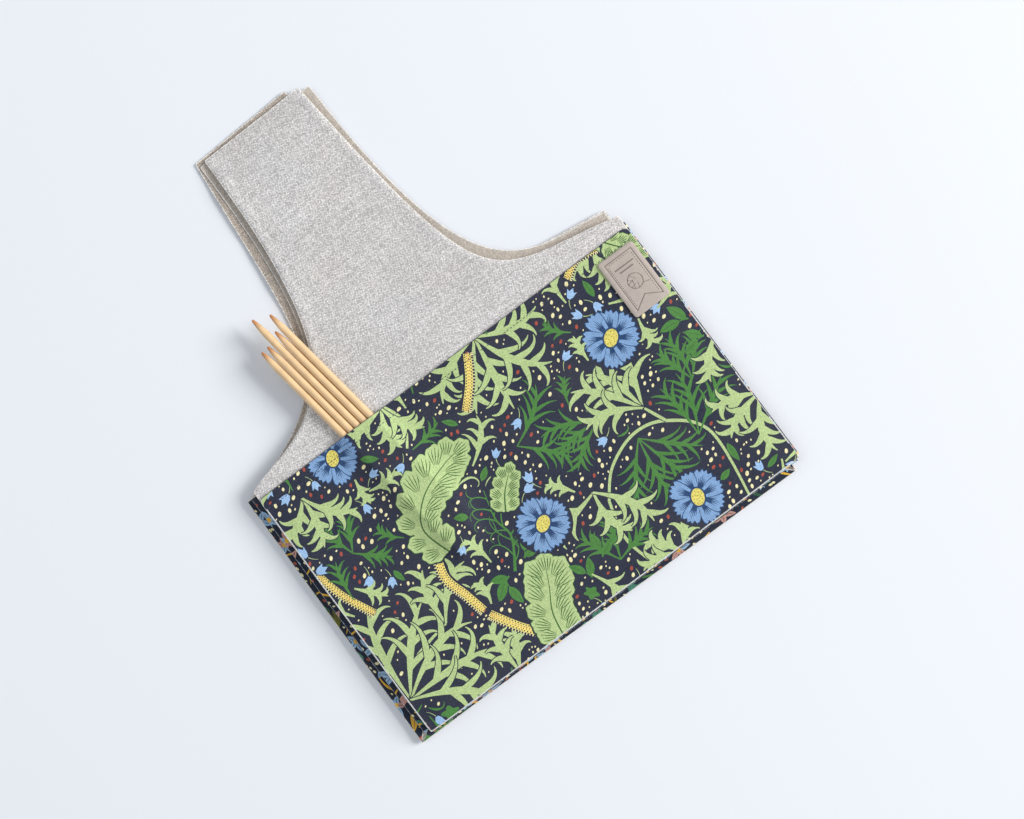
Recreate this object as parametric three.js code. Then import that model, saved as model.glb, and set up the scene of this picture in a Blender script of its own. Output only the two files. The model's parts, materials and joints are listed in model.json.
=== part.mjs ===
// A knitting project bag lying flat: a linen bag with one wide strap, a printed pocket on each side,
// a pleated gusset between the front and the back, and five double-pointed needles in the pocket.
// Units are millimetres. +X runs across the bag, +Y from its base up to the strap, +Z up from the table.
// The origin is in the middle of the base, at the height of the table.

import * as THREE from 'three';

// Driving dimensions of the bag.
const BODY_HEIGHT = 235; // base to the side seams' tops, which is also where the straps bend
const POCKET_HEIGHT = 227;
const BACK_POCKET_HEIGHT = 224;
const HALF_WIDTH_AT_BASE = 181;
const HALF_WIDTH_AT_TOP = 180;
const GUSSET_DEPTH = 55; // half of the gusset's width, which is how far its pleat reaches in
const CREASE = 125; // the side pleats' creases, from the middle
const GAP = 0.3; // between pieces that touch
const LINEN = 0.8;
const LINING = 0.6;
const COTTON = 0.7;
const POCKET_LINING = 0.5;

// Height of each layer's underside in the flat body.
const Z = {
  backPocket: 0,
  backPocketLining: 1.0,
  backPanel: 1.8,
  backLining: 2.9,
  gussetBack: 3.8,
  gussetFront: 8.4,
  frontLining: 9.5,
  frontPanel: 10.4,
  needles: 11.5,
  frontPocketLining: 11.5,
  frontPocket: 12.3,
  label: 13.3,
};
// Height of each strap layer's underside where the strap lies flat on the table.
const STRAP_Z = { backStrap: 0, backStrapLining: 1.1, frontStrapLining: 2.2, frontStrap: 3.3 };
const STRAP_FALL_START = 5; // the straps come down to the table between these heights above the bend
const STRAP_FALL_END = 105;

// Knitting needles, counted from the one nearest the bag's middle.
const NEEDLE_DIAMETER = 6;
const NEEDLE_LENGTH = 200;
const NEEDLE_TAPER = 17;
const NEEDLE_TIP_RADIUS = 0.9;
const NEEDLE_TILT = THREE.MathUtils.degToRad(8.2);
const FIRST_NEEDLE_X = -71; // where it crosses the bend line
const NEEDLE_PITCH = 6.4;
const NEEDLE_TIPS = [104, 91, 109, 85, 84]; // tip heights above the bend line

// The pocket is raised over the needles: from here to there at full height, with a ramp all round.
const CHANNEL = { left: -108, right: -36, bottom: 95, ramp: 22, bottomRamp: 35, lift: 6.3 };

const LABEL = { left: 143.5, bottom: 165, width: 32.5, height: 50.5, thickness: 1.5, corner: 1.5 };
const RIBBON = { inset: 3.5, notch: 7 }; // the outline stitched on the label
const HEM_HEIGHT = 217.5;
const HEM_HALF_LENGTH = 178;
const STITCH_WIDTH = 0.8;
const STITCH_HEIGHT = 0.4;

const bag = new THREE.Group();

const { clamp, lerp, smoothstep } = THREE.MathUtils;

function fabric(color, roughness = 0.9) {
  return new THREE.MeshStandardMaterial({ color, roughness, metalness: 0 });
}

const linen = () => fabric(0xcdc8c1);
const navyPrint = () => fabric(0x2b324d, 0.85);
const leafPrint = () => fabric(0x24403f, 0.85);
const liningCloth = () => fabric(0xc3bcb1);
const thread = () => fabric(0x2c2f3c, 0.7);
const fauxLeather = () => fabric(0xbeafa5, 0.6);
const bamboo = () => fabric(0xe1b478, 0.5);

function addMesh(name, geometry, material) {
  const mesh = new THREE.Mesh(geometry, material);
  mesh.name = name;
  bag.add(mesh);
  return mesh;
}

const evenly = (count) => Array.from({ length: count + 1 }, (_, i) => i / count);

// A cloth sheet as one closed solid. columns and rows are the stations from 0 to 1 across and up it.
// place(s, t) gives the underside's point for each pair of stations.
function clothSheet(columns, rows, thickness, place) {
  const geometry = new THREE.BoxGeometry(1, 1, 1, columns.length - 1, rows.length - 1, 1);
  const points = geometry.attributes.position;
  for (let i = 0; i < points.count; i += 1) {
    const column = Math.round((points.getX(i) + 0.5) * (columns.length - 1));
    const row = Math.round((points.getY(i) + 0.5) * (rows.length - 1));
    const [x, y, z] = place(columns[column], rows[row]);
    points.setXYZ(i, x, y, points.getZ(i) > 0 ? z + thickness : z);
  }
  geometry.computeVertexNormals();
  return geometry;
}

// One side edge of a panel, from its base corner to the side seam's top and on to the strap's end.
// From the seam's top it is one concave cubic curve, with inner control points at the shoulder and the neck.
function sideEdge({ baseX, seam, shoulder, neck, end }) {
  const controls = [seam, shoulder, neck, end].map(([x, y]) => new THREE.Vector2(x, y));
  const curve = new THREE.CubicBezierCurve(...controls);
  return (y) => {
    if (y <= seam[1]) {
      return lerp(baseX, seam[0], Math.max(y, 0) / seam[1]);
    }
    let low = 0;
    let high = 1;
    for (let i = 0; i < 30; i += 1) {
      const middle = (low + high) / 2;
      if (curve.getPoint(middle).y < y) {
        low = middle;
      } else {
        high = middle;
      }
    }
    return curve.getPoint(low).x;
  };
}

// A panel with its strap: its two side edges, and the heights of its strap's two end corners.
function outlineOf(left, right) {
  return { left: sideEdge(left), right: sideEdge(right), leftEnd: left.end[1], rightEnd: right.end[1] };
}

// The strap leans to the left of the bag's middle line as it lies. The two back layers lie a little
// askew under the front, so that their edges show beside it.
const FRONT_SEAM_TOP = { left: BODY_HEIGHT, right: BODY_HEIGHT + 2.5 };
const BACK_SEAM_TOP = { left: BODY_HEIGHT - 3.5, right: BODY_HEIGHT + 13 };
const INSIDE_SEAM_TOP = { left: BODY_HEIGHT - 3.5, right: BODY_HEIGHT + 12 };
const FRONT = outlineOf({
  baseX: -HALF_WIDTH_AT_BASE,
  seam: [-HALF_WIDTH_AT_TOP, FRONT_SEAM_TOP.left],
  shoulder: [-121, 256],
  neck: [-54, 234],
  end: [-55.5, 469],
}, {
  baseX: HALF_WIDTH_AT_BASE,
  seam: [HALF_WIDTH_AT_TOP, FRONT_SEAM_TOP.right],
  shoulder: [69.5, 264],
  neck: [60.5, 231.5],
  end: [38.5, 471],
});
const BACK = outlineOf({
  baseX: -HALF_WIDTH_AT_BASE - 12,
  seam: [-HALF_WIDTH_AT_TOP - 10, BACK_SEAM_TOP.left],
  shoulder: [-69.5, 267.5],
  neck: [-80.5, 288.5],
  end: [-63, 472],
}, {
  baseX: HALF_WIDTH_AT_BASE - 7,
  seam: [HALF_WIDTH_AT_TOP - 5, BACK_SEAM_TOP.right],
  shoulder: [64, 267],
  neck: [72, 237],
  end: [28, 476],
});
const BACK_INSIDE = outlineOf({
  baseX: -HALF_WIDTH_AT_BASE - 10,
  seam: [-HALF_WIDTH_AT_TOP - 8, INSIDE_SEAM_TOP.left],
  shoulder: [-112, 258.5],
  neck: [-58.5, 243],
  end: [-61.5, 467.5],
}, {
  baseX: HALF_WIDTH_AT_BASE - 8,
  seam: [HALF_WIDTH_AT_TOP - 6, INSIDE_SEAM_TOP.right],
  shoulder: [109, 260],
  neck: [50.5, 236],
  end: [46.5, 467.5],
});

// The back's bottom edge hangs below the front's, lowest at the right.
const BACK_BASE = { left: -4, right: -8 };
function backBase(x) {
  return lerp(BACK_BASE.left, BACK_BASE.right, smoothstep(x, -HALF_WIDTH_AT_TOP, HALF_WIDTH_AT_TOP));
}
const frontBase = () => 0;

// A flat panel of the body, from its base to the height given, at one height above the table.
function bodyPanel(outline, base, top, z, thickness) {
  const shoulderRows = [0, 0.6, 1.8].map((rise) => BACK_SEAM_TOP.left + rise);
  const rows = [0, ...shoulderRows.filter((y) => y < top).map((y) => y / top), 1];
  return clothSheet(evenly(6), rows, thickness, (s, t) => {
    const level = top * t;
    const x = lerp(outline.left(level), outline.right(level), s);
    return [x, lerp(base(x), top, t), z];
  });
}

// Height of a strap layer at y: level with its panel at the bend, then down to its place on the table.
function strapHeight(y, panelZ, strapZ) {
  const fallen = smoothstep(y - BODY_HEIGHT, STRAP_FALL_START, STRAP_FALL_END);
  return lerp(panelZ, strapZ, fallen);
}

// Heights of a strap's rows above the bend. They crowd together at the side seams' tops, where the
// outlines turn quickly, and the last one lies past every strap's end.
function strapRows() {
  const frontSeam = FRONT_SEAM_TOP.right - BODY_HEIGHT;
  const insideSeam = INSIDE_SEAM_TOP.right - BODY_HEIGHT;
  const backSeam = BACK_SEAM_TOP.right - BODY_HEIGHT;
  const shoulder = [0, 1, frontSeam, frontSeam + 1, frontSeam + 3, frontSeam + 6, insideSeam, backSeam];
  const inFall = evenly(6).map((f) => lerp(STRAP_FALL_START, STRAP_FALL_END, f));
  return [...shoulder, backSeam + 1.2, backSeam + 4, ...inFall.slice(1), 150, 190, 250];
}

function strapPiece(outline, panelZ, strapZ, thickness) {
  const start = BODY_HEIGHT + GAP;
  return clothSheet(evenly(2), strapRows(), thickness, (s, height) => {
    const end = lerp(outline.leftEnd, outline.rightEnd, s);
    const y = Math.min(Math.max(BODY_HEIGHT + height, start), end);
    const x = lerp(outline.left(y), outline.right(y), s);
    return [x, y, strapHeight(y, panelZ, strapZ)];
  });
}

// One half of a side pleat: a strip from the side edge in to the crease, mitred at the base.
function sideGusset(side, outline, base, top, overhang, z) {
  return clothSheet([0, 1], [0, 1], COTTON, (s, t) => {
    const y = top * t;
    const edge = (side < 0 ? outline.left(y) : outline.right(y)) + side * overhang;
    const across = side < 0 ? s : 1 - s; // 0 at the edge, 1 at the crease
    const x = lerp(edge, side * CREASE, across);
    const foot = lerp(base(edge), GUSSET_DEPTH, across) + 2 * GAP;
    return [x, lerp(foot, top, t), z];
  });
}

// One half of the base pleat: a strip from the bottom edge up to its crease, mitred at both ends.
function baseGusset(outline, base, overhang, z) {
  const left = outline.left(0) - overhang;
  const right = outline.right(0) + overhang;
  return clothSheet(evenly(6), [0, 1], COTTON, (s, t) => {
    const x = lerp(lerp(left, right, s), lerp(-CREASE, CREASE, s), t);
    return [x, lerp(base(x), GUSSET_DEPTH, t), z];
  });
}

// How far the pocket is lifted at a point, by the needles under it.
function pocketLift(x, y) {
  const fromLeft = smoothstep(x, CHANNEL.left - CHANNEL.ramp, CHANNEL.left);
  const fromRight = 1 - smoothstep(x, CHANNEL.right, CHANNEL.right + CHANNEL.ramp);
  const fromBelow = smoothstep(y, CHANNEL.bottom - CHANNEL.bottomRamp, CHANNEL.bottom);
  return CHANNEL.lift * fromLeft * fromRight * fromBelow;
}

// Stations across the front pocket, in millimetres, with six steps in each ramp.
function pocketColumns() {
  const steps = evenly(6);
  const leftRamp = steps.map((f) => lerp(CHANNEL.left - CHANNEL.ramp, CHANNEL.left, f));
  const rightRamp = steps.map((f) => lerp(CHANNEL.right, CHANNEL.right + CHANNEL.ramp, f));
  return [-HALF_WIDTH_AT_BASE, ...leftRamp, ...rightRamp, HALF_WIDTH_AT_BASE];
}

function pocketRows() {
  const ramp = evenly(6).map((f) => lerp(CHANNEL.bottom - CHANNEL.bottomRamp, CHANNEL.bottom, f));
  return [0, ...ramp, POCKET_HEIGHT];
}

// The pocket's side edges follow the panel's, so only its outermost stations move in with height.
function frontPocketX(x, y) {
  if (Math.abs(x) < HALF_WIDTH_AT_BASE) {
    return x;
  }
  return x < 0 ? FRONT.left(y) : FRONT.right(y);
}

function frontPocketSheet(z, thickness) {
  return clothSheet(pocketColumns(), pocketRows(), thickness, (x, y) => [
    frontPocketX(x, y),
    y,
    z + pocketLift(x, y),
  ]);
}

function backPocketSheet(z, thickness) {
  return clothSheet(evenly(6), [0, 1], thickness, (s, t) => {
    const level = BACK_POCKET_HEIGHT * t;
    const x = lerp(BACK.left(level), BACK.right(level), s);
    return [x, lerp(backBase(x), BACK_POCKET_HEIGHT, t), z];
  });
}

// A row of topstitching along the pocket's hem, lying on the pocket.
function hemStitching() {
  const columns = pocketColumns().map((x) => clamp(x, -HEM_HALF_LENGTH, HEM_HALF_LENGTH));
  const rows = [HEM_HEIGHT - STITCH_WIDTH / 2, HEM_HEIGHT + STITCH_WIDTH / 2];
  const z = Z.frontPocket + COTTON + GAP;
  return clothSheet(columns, rows, STITCH_HEIGHT, (x, y) => [x, y, z + pocketLift(x, HEM_HEIGHT)]);
}

function roundedRectangle(left, bottom, width, height, radius) {
  const right = left + width;
  const top = bottom + height;
  const shape = new THREE.Shape();
  shape.moveTo(left + radius, bottom);
  shape.lineTo(right - radius, bottom);
  shape.absarc(right - radius, bottom + radius, radius, -Math.PI / 2, 0);
  shape.lineTo(right, top - radius);
  shape.absarc(right - radius, top - radius, radius, 0, Math.PI / 2);
  shape.lineTo(left + radius, top);
  shape.absarc(left + radius, top - radius, radius, Math.PI / 2, Math.PI);
  shape.lineTo(left, bottom + radius);
  shape.absarc(left + radius, bottom + radius, radius, Math.PI, 1.5 * Math.PI);
  return shape;
}

function labelPatch() {
  const { left, bottom, width, height, thickness, corner } = LABEL;
  const shape = roundedRectangle(left, bottom, width, height, corner);
  return new THREE.ExtrudeGeometry(shape, { depth: thickness, bevelEnabled: false, curveSegments: 3 });
}

// The label's stitching: a line round a ribbon with a notched foot.
function labelStitching() {
  const { inset, notch } = RIBBON;
  const left = LABEL.left + inset;
  const right = LABEL.left + LABEL.width - inset;
  const bottom = LABEL.bottom + inset;
  const top = LABEL.bottom + LABEL.height - inset;
  const middle = (left + right) / 2;
  const ribbon = (path, grow) => {
    path.moveTo(left - grow, bottom - grow);
    path.lineTo(middle, bottom + notch - grow);
    path.lineTo(right + grow, bottom - grow);
    path.lineTo(right + grow, top + grow);
    path.lineTo(left - grow, top + grow);
    path.lineTo(left - grow, bottom - grow);
    return path;
  };
  const shape = ribbon(new THREE.Shape(), STITCH_WIDTH / 2);
  shape.holes.push(ribbon(new THREE.Path(), -STITCH_WIDTH / 2));
  return new THREE.ExtrudeGeometry(shape, { depth: STITCH_HEIGHT, bevelEnabled: false });
}

// A double-pointed needle along Y, centred on its middle, with blunt tapered ends.
function needleShape() {
  const radius = NEEDLE_DIAMETER / 2;
  const half = NEEDLE_LENGTH / 2;
  const end = [
    [0, 0],
    [NEEDLE_TIP_RADIUS * 0.8, 0.4],
    [NEEDLE_TIP_RADIUS, 1.2],
    [radius * 0.75, NEEDLE_TAPER * 0.55],
    [radius, NEEDLE_TAPER],
  ];
  const lower = end.map(([r, along]) => new THREE.Vector2(r, along - half));
  const upper = end.map(([r, along]) => new THREE.Vector2(r, half - along)).reverse();
  return new THREE.LatheGeometry([...lower, ...upper], 12);
}

function addNeedle(index) {
  const needle = addMesh(`needle_${index + 1}`, needleShape(), bamboo());
  const alongTip = NEEDLE_TIPS[index] / Math.cos(NEEDLE_TILT);
  const fromBend = alongTip - NEEDLE_LENGTH / 2;
  needle.rotation.z = NEEDLE_TILT;
  needle.position.set(
    FIRST_NEEDLE_X - index * NEEDLE_PITCH - fromBend * Math.sin(NEEDLE_TILT),
    BODY_HEIGHT + fromBend * Math.cos(NEEDLE_TILT),
    Z.needles + NEEDLE_DIAMETER / 2,
  );
}

function addBackHalf() {
  addMesh('back_pocket', backPocketSheet(Z.backPocket, COTTON), navyPrint());
  addMesh('back_pocket_lining', backPocketSheet(Z.backPocketLining, POCKET_LINING), liningCloth());
  addMesh('back_panel', bodyPanel(BACK, backBase, BODY_HEIGHT, Z.backPanel, LINEN), linen());
  addMesh('back_lining', bodyPanel(BACK_INSIDE, backBase, BODY_HEIGHT, Z.backLining, LINING), liningCloth());
  const gussetTop = BACK_SEAM_TOP.left;
  const leftBack = sideGusset(-1, BACK, backBase, gussetTop, 0, Z.gussetBack);
  const rightBack = sideGusset(1, BACK, backBase, gussetTop, 0, Z.gussetBack);
  addMesh('left_gusset_back', leftBack, leafPrint());
  addMesh('right_gusset_back', rightBack, leafPrint());
  addMesh('base_gusset_back', baseGusset(BACK, backBase, 0, Z.gussetBack), leafPrint());
}

function addFrontHalf() {
  const gussetTop = BODY_HEIGHT - 1;
  const leftOverhang = 5; // the pleat's roll shows beside the left edge
  const leftFront = sideGusset(-1, FRONT, frontBase, gussetTop, leftOverhang, Z.gussetFront);
  addMesh('left_gusset_front', leftFront, leafPrint());
  addMesh('right_gusset_front', sideGusset(1, FRONT, frontBase, gussetTop, 0, Z.gussetFront), leafPrint());
  addMesh('base_gusset_front', baseGusset(FRONT, frontBase, 0, Z.gussetFront), leafPrint());
  addMesh('front_lining', bodyPanel(FRONT, frontBase, BODY_HEIGHT, Z.frontLining, LINING), liningCloth());
  addMesh('front_panel', bodyPanel(FRONT, frontBase, BODY_HEIGHT, Z.frontPanel, LINEN), linen());
  addMesh('front_pocket_lining', frontPocketSheet(Z.frontPocketLining, POCKET_LINING), liningCloth());
  addMesh('front_pocket', frontPocketSheet(Z.frontPocket, COTTON), navyPrint());
  addMesh('pocket_hem_stitching', hemStitching(), thread());
  addMesh('label', labelPatch(), fauxLeather()).position.z = Z.label;
  const stitchingZ = Z.label + LABEL.thickness + GAP;
  addMesh('label_stitching', labelStitching(), thread()).position.z = stitchingZ;
}

function addStraps() {
  const { backStrap, backStrapLining, frontStrapLining, frontStrap } = STRAP_Z;
  addMesh('back_strap', strapPiece(BACK, Z.backPanel, backStrap, LINEN), linen());
  addMesh('back_strap_lining', strapPiece(BACK_INSIDE, Z.backLining, backStrapLining, LINING), linen());
  addMesh('front_strap_lining', strapPiece(FRONT, Z.frontLining, frontStrapLining, LINING), linen());
  addMesh('front_strap', strapPiece(FRONT, Z.frontPanel, frontStrap, LINEN), linen());
}

addBackHalf();
addStraps();
addFrontHalf();
NEEDLE_TIPS.forEach((_, index) => addNeedle(index));

export default bag;
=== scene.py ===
"""Looks of the knitting project bag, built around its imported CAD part.

Every cloth piece is drawn flat, in millimetres, as an outline with its printed shapes. It is then
triangulated, laid on its own height in the stack and given two faces and a rounded rim.
X runs across the bag, Y from its base up to the strap, Z up from the table.
"""

import json
import math

import bpy
import numpy as np
from mathutils import Matrix, Vector
from mathutils.geometry import delaunay_2d_cdt


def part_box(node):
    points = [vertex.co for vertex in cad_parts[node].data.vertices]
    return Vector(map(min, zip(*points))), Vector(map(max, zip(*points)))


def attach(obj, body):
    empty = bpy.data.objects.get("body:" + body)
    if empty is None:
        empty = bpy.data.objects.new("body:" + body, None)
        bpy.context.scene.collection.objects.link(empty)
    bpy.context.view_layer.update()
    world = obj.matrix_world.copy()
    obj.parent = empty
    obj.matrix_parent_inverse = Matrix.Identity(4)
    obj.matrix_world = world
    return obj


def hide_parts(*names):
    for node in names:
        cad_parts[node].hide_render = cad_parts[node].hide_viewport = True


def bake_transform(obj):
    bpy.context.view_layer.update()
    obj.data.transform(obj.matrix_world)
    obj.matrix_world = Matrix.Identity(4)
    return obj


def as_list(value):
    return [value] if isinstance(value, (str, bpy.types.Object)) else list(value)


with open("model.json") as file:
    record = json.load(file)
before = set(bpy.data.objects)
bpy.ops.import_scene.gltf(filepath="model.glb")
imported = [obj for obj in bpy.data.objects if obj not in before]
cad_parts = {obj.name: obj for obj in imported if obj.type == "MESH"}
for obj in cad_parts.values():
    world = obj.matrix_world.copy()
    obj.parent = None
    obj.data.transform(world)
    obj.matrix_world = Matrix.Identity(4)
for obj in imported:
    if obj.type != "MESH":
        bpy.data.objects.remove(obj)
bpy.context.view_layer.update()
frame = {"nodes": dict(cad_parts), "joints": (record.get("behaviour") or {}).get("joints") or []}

MM = 0.001
TAU = 2 * math.pi


# ---------------------------------------------------------------------------------------------
# Small helpers


def lerp(a, b, t):
    return a + (b - a) * t


def smoothstep(x, low, high):
    t = np.clip((np.asarray(x, float) - low) / (high - low), 0, 1)
    return t * t * (3 - 2 * t)


def srgb(red, green, blue):
    """A linear colour from 8-bit sRGB values."""
    scaled = np.array([red, green, blue]) / 255
    linear = np.where(scaled <= 0.04045, scaled / 12.92, ((scaled + 0.055) / 1.055) ** 2.4)
    return tuple(float(value) for value in linear)


def node_points(node):
    """A CAD node's vertices, in millimetres."""
    vertices = frame["nodes"][node].data.vertices
    flat = np.empty(len(vertices) * 3)
    vertices.foreach_get("co", flat)
    return flat.reshape(-1, 3) / MM


def box_mm(node):
    low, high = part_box(node)
    return np.array(low) / MM, np.array(high) / MM


def underside(node):
    return box_mm(node)[0][2]


def middle_height(node):
    low, high = box_mm(node)
    return (low[2] + high[2]) / 2


def edge_x(node, side, height):
    """A CAD node's outermost x on one side, at one height up the bag."""
    points = node_points(node)
    near = points[abs(points[:, 1] - height) < 1.0]
    return side * (side * near[:, 0]).max()


# ---------------------------------------------------------------------------------------------
# Flat outlines, read from the CAD nodes

BEND = box_mm("front_panel")[1][1]
STRAP_END = box_mm("front_strap")[1][1]
POCKET_TOP = box_mm("front_pocket")[1][1]
BACK_POCKET_TOP = box_mm("back_pocket")[1][1]
FALL_START = BEND + 5
FALL_END = BEND + 105
GUSSET_DEPTH = box_mm("base_gusset_front")[1][1]
CREASE = abs(box_mm("left_gusset_front")[1][0])


def shoulder_curve(seam, shoulder, neck, end):
    """The concave shoulder, one cubic curve from the side seam's top to the strap's end."""
    controls = np.array([seam, shoulder, neck, end])
    t = np.linspace(0, 1, 70)[:, None]
    weights = [(1 - t) ** 3, 3 * t * (1 - t) ** 2, 3 * t * t * (1 - t), t ** 3]
    return sum(weight * control for weight, control in zip(weights, controls))


def end_corner(strap, side):
    """A strap's corner at its far end."""
    points = node_points(strap)
    last = points[points[:, 1] > points[:, 1].max() - 12]
    return last[np.argmax(side * last[:, 0])][:2]


def side_line(panel, strap, side, seam_top, shoulder, neck):
    """One side of a panel and its strap, as points from the base to the strap's end."""
    points = node_points(panel)
    low_points = points[points[:, 1] < GUSSET_DEPTH]
    foot = low_points[np.argmax(side * low_points[:, 0])]
    seam_node = panel if seam_top <= BEND else strap
    seam = (edge_x(seam_node, side, seam_top), seam_top)
    curve = shoulder_curve(seam, shoulder, neck, end_corner(strap, side))
    return np.vstack([[foot[:2]], curve])


def base_line(node):
    """The bottom edge of a panel, as points from left to right."""
    points = node_points(node)
    low_points = points[points[:, 1] < 1]
    order = np.argsort(low_points[:, 0])
    return low_points[order][:, :2]


class Outline:
    """The flat cut of a panel with its strap."""

    def __init__(self, panel, strap, left, right):
        self.left = side_line(panel, strap, -1, *left)
        self.right = side_line(panel, strap, 1, *right)
        self.base = base_line(panel)
        self.end = min(self.left[-1][1], self.right[-1][1])

    def left_x(self, y):
        return np.interp(y, self.left[:, 1], self.left[:, 0])

    def right_x(self, y):
        return np.interp(y, self.right[:, 1], self.right[:, 0])

    def base_y(self, x):
        return np.interp(x, self.base[:, 0], self.base[:, 1])

    def inset(self, x, y):
        """Roughly how far a point is from the nearest edge."""
        across = np.minimum(x - self.left_x(y), self.right_x(y) - x)
        along = np.minimum(y - self.base_y(x), self.end - y)
        return np.minimum(across, along)

    def bottom(self, left, right):
        xs = np.linspace(left, right, 13)
        return [(x, float(self.base_y(x))) for x in xs]

    def whole(self):
        return self.bottom(self.left[0][0], self.right[0][0]) + list(self.right[1:]) + list(self.left[:0:-1])

    def up_to(self, top):
        """The cut of a pocket: the panel's outline, straight across at the height given."""
        corners = [(float(self.right_x(top)), top), (float(self.left_x(top)), top)]
        return self.bottom(self.left[0][0], self.right[0][0]) + corners


FRONT = Outline("front_panel", "front_strap",
                (BEND, (-121, 256), (-54, 234)), (BEND + 2.5, (69.5, 264), (60.5, 231.5)))
BACK = Outline("back_panel", "back_strap",
               (BEND - 3.5, (-69.5, 267.5), (-80.5, 288.5)), (BEND + 13, (64, 267), (72, 237)))
BACK_INSIDE = Outline("back_lining", "back_strap_lining",
                      (BEND - 3.5, (-112, 258.5), (-58.5, 243)), (BEND + 12, (109, 260), (50.5, 236)))


def rounded(points, radius, step=4.0):
    """An outline with its sharp corners rounded and its long sides divided."""
    points = [np.array(point, float) for point in points]
    result = []
    for i, corner in enumerate(points):
        before, after = points[i - 1], points[(i + 1) % len(points)]
        back, ahead = before - corner, after - corner
        reach = min(radius, 0.45 * np.linalg.norm(back), 0.45 * np.linalg.norm(ahead))
        back, ahead = back / np.linalg.norm(back), ahead / np.linalg.norm(ahead)
        if back @ ahead < -0.9:
            result.append(corner)
            continue
        start, stop = corner + back * reach, corner + ahead * reach
        for t in np.linspace(0, 1, 6):
            result.append((1 - t) ** 2 * start + 2 * t * (1 - t) * corner + t * t * stop)
    return divided(result, step)


def divided(points, step):
    result = []
    for i, point in enumerate(points):
        after = points[(i + 1) % len(points)]
        count = max(1, int(np.linalg.norm(after - point) / step))
        result.extend(lerp(point, after, k / count) for k in range(count))
    return np.array(result)


def shoelace(points):
    x, y = np.array(points, float).T
    return abs(x @ np.roll(y, -1) - y @ np.roll(x, -1)) / 2


def inside(points, outline):
    """Which points lie in a closed outline."""
    x, y = points[:, 0][:, None], points[:, 1][:, None]
    x0, y0 = outline[:, 0], outline[:, 1]
    x1, y1 = np.roll(x0, -1), np.roll(y0, -1)
    rise = np.where(y1 == y0, 1e-9, y1 - y0)
    crosses = ((y0 > y) != (y1 > y)) & (x < x0 + (y - y0) * (x1 - x0) / rise)
    return crosses.sum(1) % 2 == 1


def distance_to(points, outline):
    start, stop = outline, np.roll(outline, -1, 0)
    along = stop - start
    t = ((points[:, None] - start) * along).sum(2) / np.maximum((along ** 2).sum(1), 1e-9)
    nearest = start + np.clip(t, 0, 1)[..., None] * along
    return np.linalg.norm(points[:, None] - nearest, axis=2).min(1)


def grid_inside(outline, spacing, window=None):
    """Grid points well inside an outline, or inside a window (left, bottom, right, top) of it."""
    low, high = outline.min(0), outline.max(0)
    if window:
        low, high = np.maximum(low, window[:2]), np.minimum(high, window[2:])
    xs = np.arange(low[0] + spacing / 2, high[0], spacing)
    ys = np.arange(low[1] + spacing / 2, high[1], spacing)
    points = np.stack(np.meshgrid(xs, ys), -1).reshape(-1, 2)
    points = points[inside(points, outline)]
    return points[distance_to(points, outline) > spacing * 0.45]


# ---------------------------------------------------------------------------------------------
# Heights of the layers

NEEDLES = [f"needle_{i}" for i in range(1, 6)]
NEEDLE_SLIDE = [joint for joint in frame["joints"] if joint["name"] == "needle_1_slide"][0]
NEEDLE_AXIS = np.array(NEEDLE_SLIDE["axis"], float)
NEEDLE_AXIS /= np.linalg.norm(NEEDLE_AXIS)
NEEDLE_PUSH = -NEEDLE_SLIDE["range_m"][0] / MM
NEEDLE_ROOM = 5.0  # spare length under the pocket beyond a needle that is pushed right in
NEEDLE_RADIUS = (box_mm("needle_1")[1][2] - box_mm("needle_1")[0][2]) / 2
NEEDLE_HALF = 100.0
NEEDLE_TAPER = 17.0
TIP_RADIUS = 0.9
COTTON = 0.7
LINEN = 0.8
LINING = 0.6
POCKET_LINING = 0.5
CLEARANCE = 0.15


def needle_radius(along):
    """A needle's radius at a distance from its middle."""
    to_tip = np.clip(NEEDLE_HALF - np.abs(along), 0, NEEDLE_TAPER) / NEEDLE_TAPER
    swell = lerp(TIP_RADIUS, NEEDLE_RADIUS, 1 - (1 - to_tip) ** 1.5)
    return swell * np.sqrt(np.clip(to_tip * NEEDLE_TAPER / 1.1, 0, 1))


def ripples(x, y, parts):
    """A sum of gentle waves, each a height, a wavelength, a heading in degrees and a phase."""
    total = 0.0
    for height, wavelength, heading, phase in parts:
        angle = math.radians(heading)
        along = x * math.cos(angle) + y * math.sin(angle)
        total = total + height * np.sin(TAU * along / wavelength + phase)
    return total


BODY_RIPPLES = [(0.30, 170, 20, 0.4), (0.22, 105, 78, 1.9), (0.14, 62, 128, 4.0), (0.10, 38, 52, 2.2)]
STRAP_RIPPLES = [(0.55, 150, 62, 0.9), (0.35, 74, 104, 2.4), (0.25, 52, 38, 0.3), (0.12, 27, 75, 1.1)]
UNDER_RIPPLES = [(0.25, 140, 35, 1.2), (0.2, 80, 100, 0.2)]
STRAP_LOFT = 1.7  # how far the front's strap stands off the back's, between the body and the end seam


def near_needles(x, y):
    across = smoothstep(x, -165, -135) * (1 - smoothstep(x, -25, 5))
    return across * smoothstep(y, 60, 95) * (1 - smoothstep(y, FALL_START, FALL_END))


def front_relief(x, y):
    """How far the front's layers stand above their flat height."""
    from_side = FRONT.right[0][0] - np.abs(x)
    drop = 0.9 * (1 - smoothstep(from_side, 0, 16)) + 0.8 * (1 - smoothstep(y, 0, 14))
    body = (ripples(x, y, BODY_RIPPLES) + 0.45 - drop) * (1 - near_needles(x, y))
    strap = strap_relief(x, y) + STRAP_LOFT * (1 - smoothstep(y, STRAP_END - 30, STRAP_END))
    return lerp(body, strap, smoothstep(y, FALL_START, FALL_END))


def back_relief(x, y):
    """How far the back's layers stand off the table."""
    body = 0.45 + ripples(x, y, UNDER_RIPPLES)
    return lerp(body, strap_relief(x, y), smoothstep(y, FALL_START, FALL_END))


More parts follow.
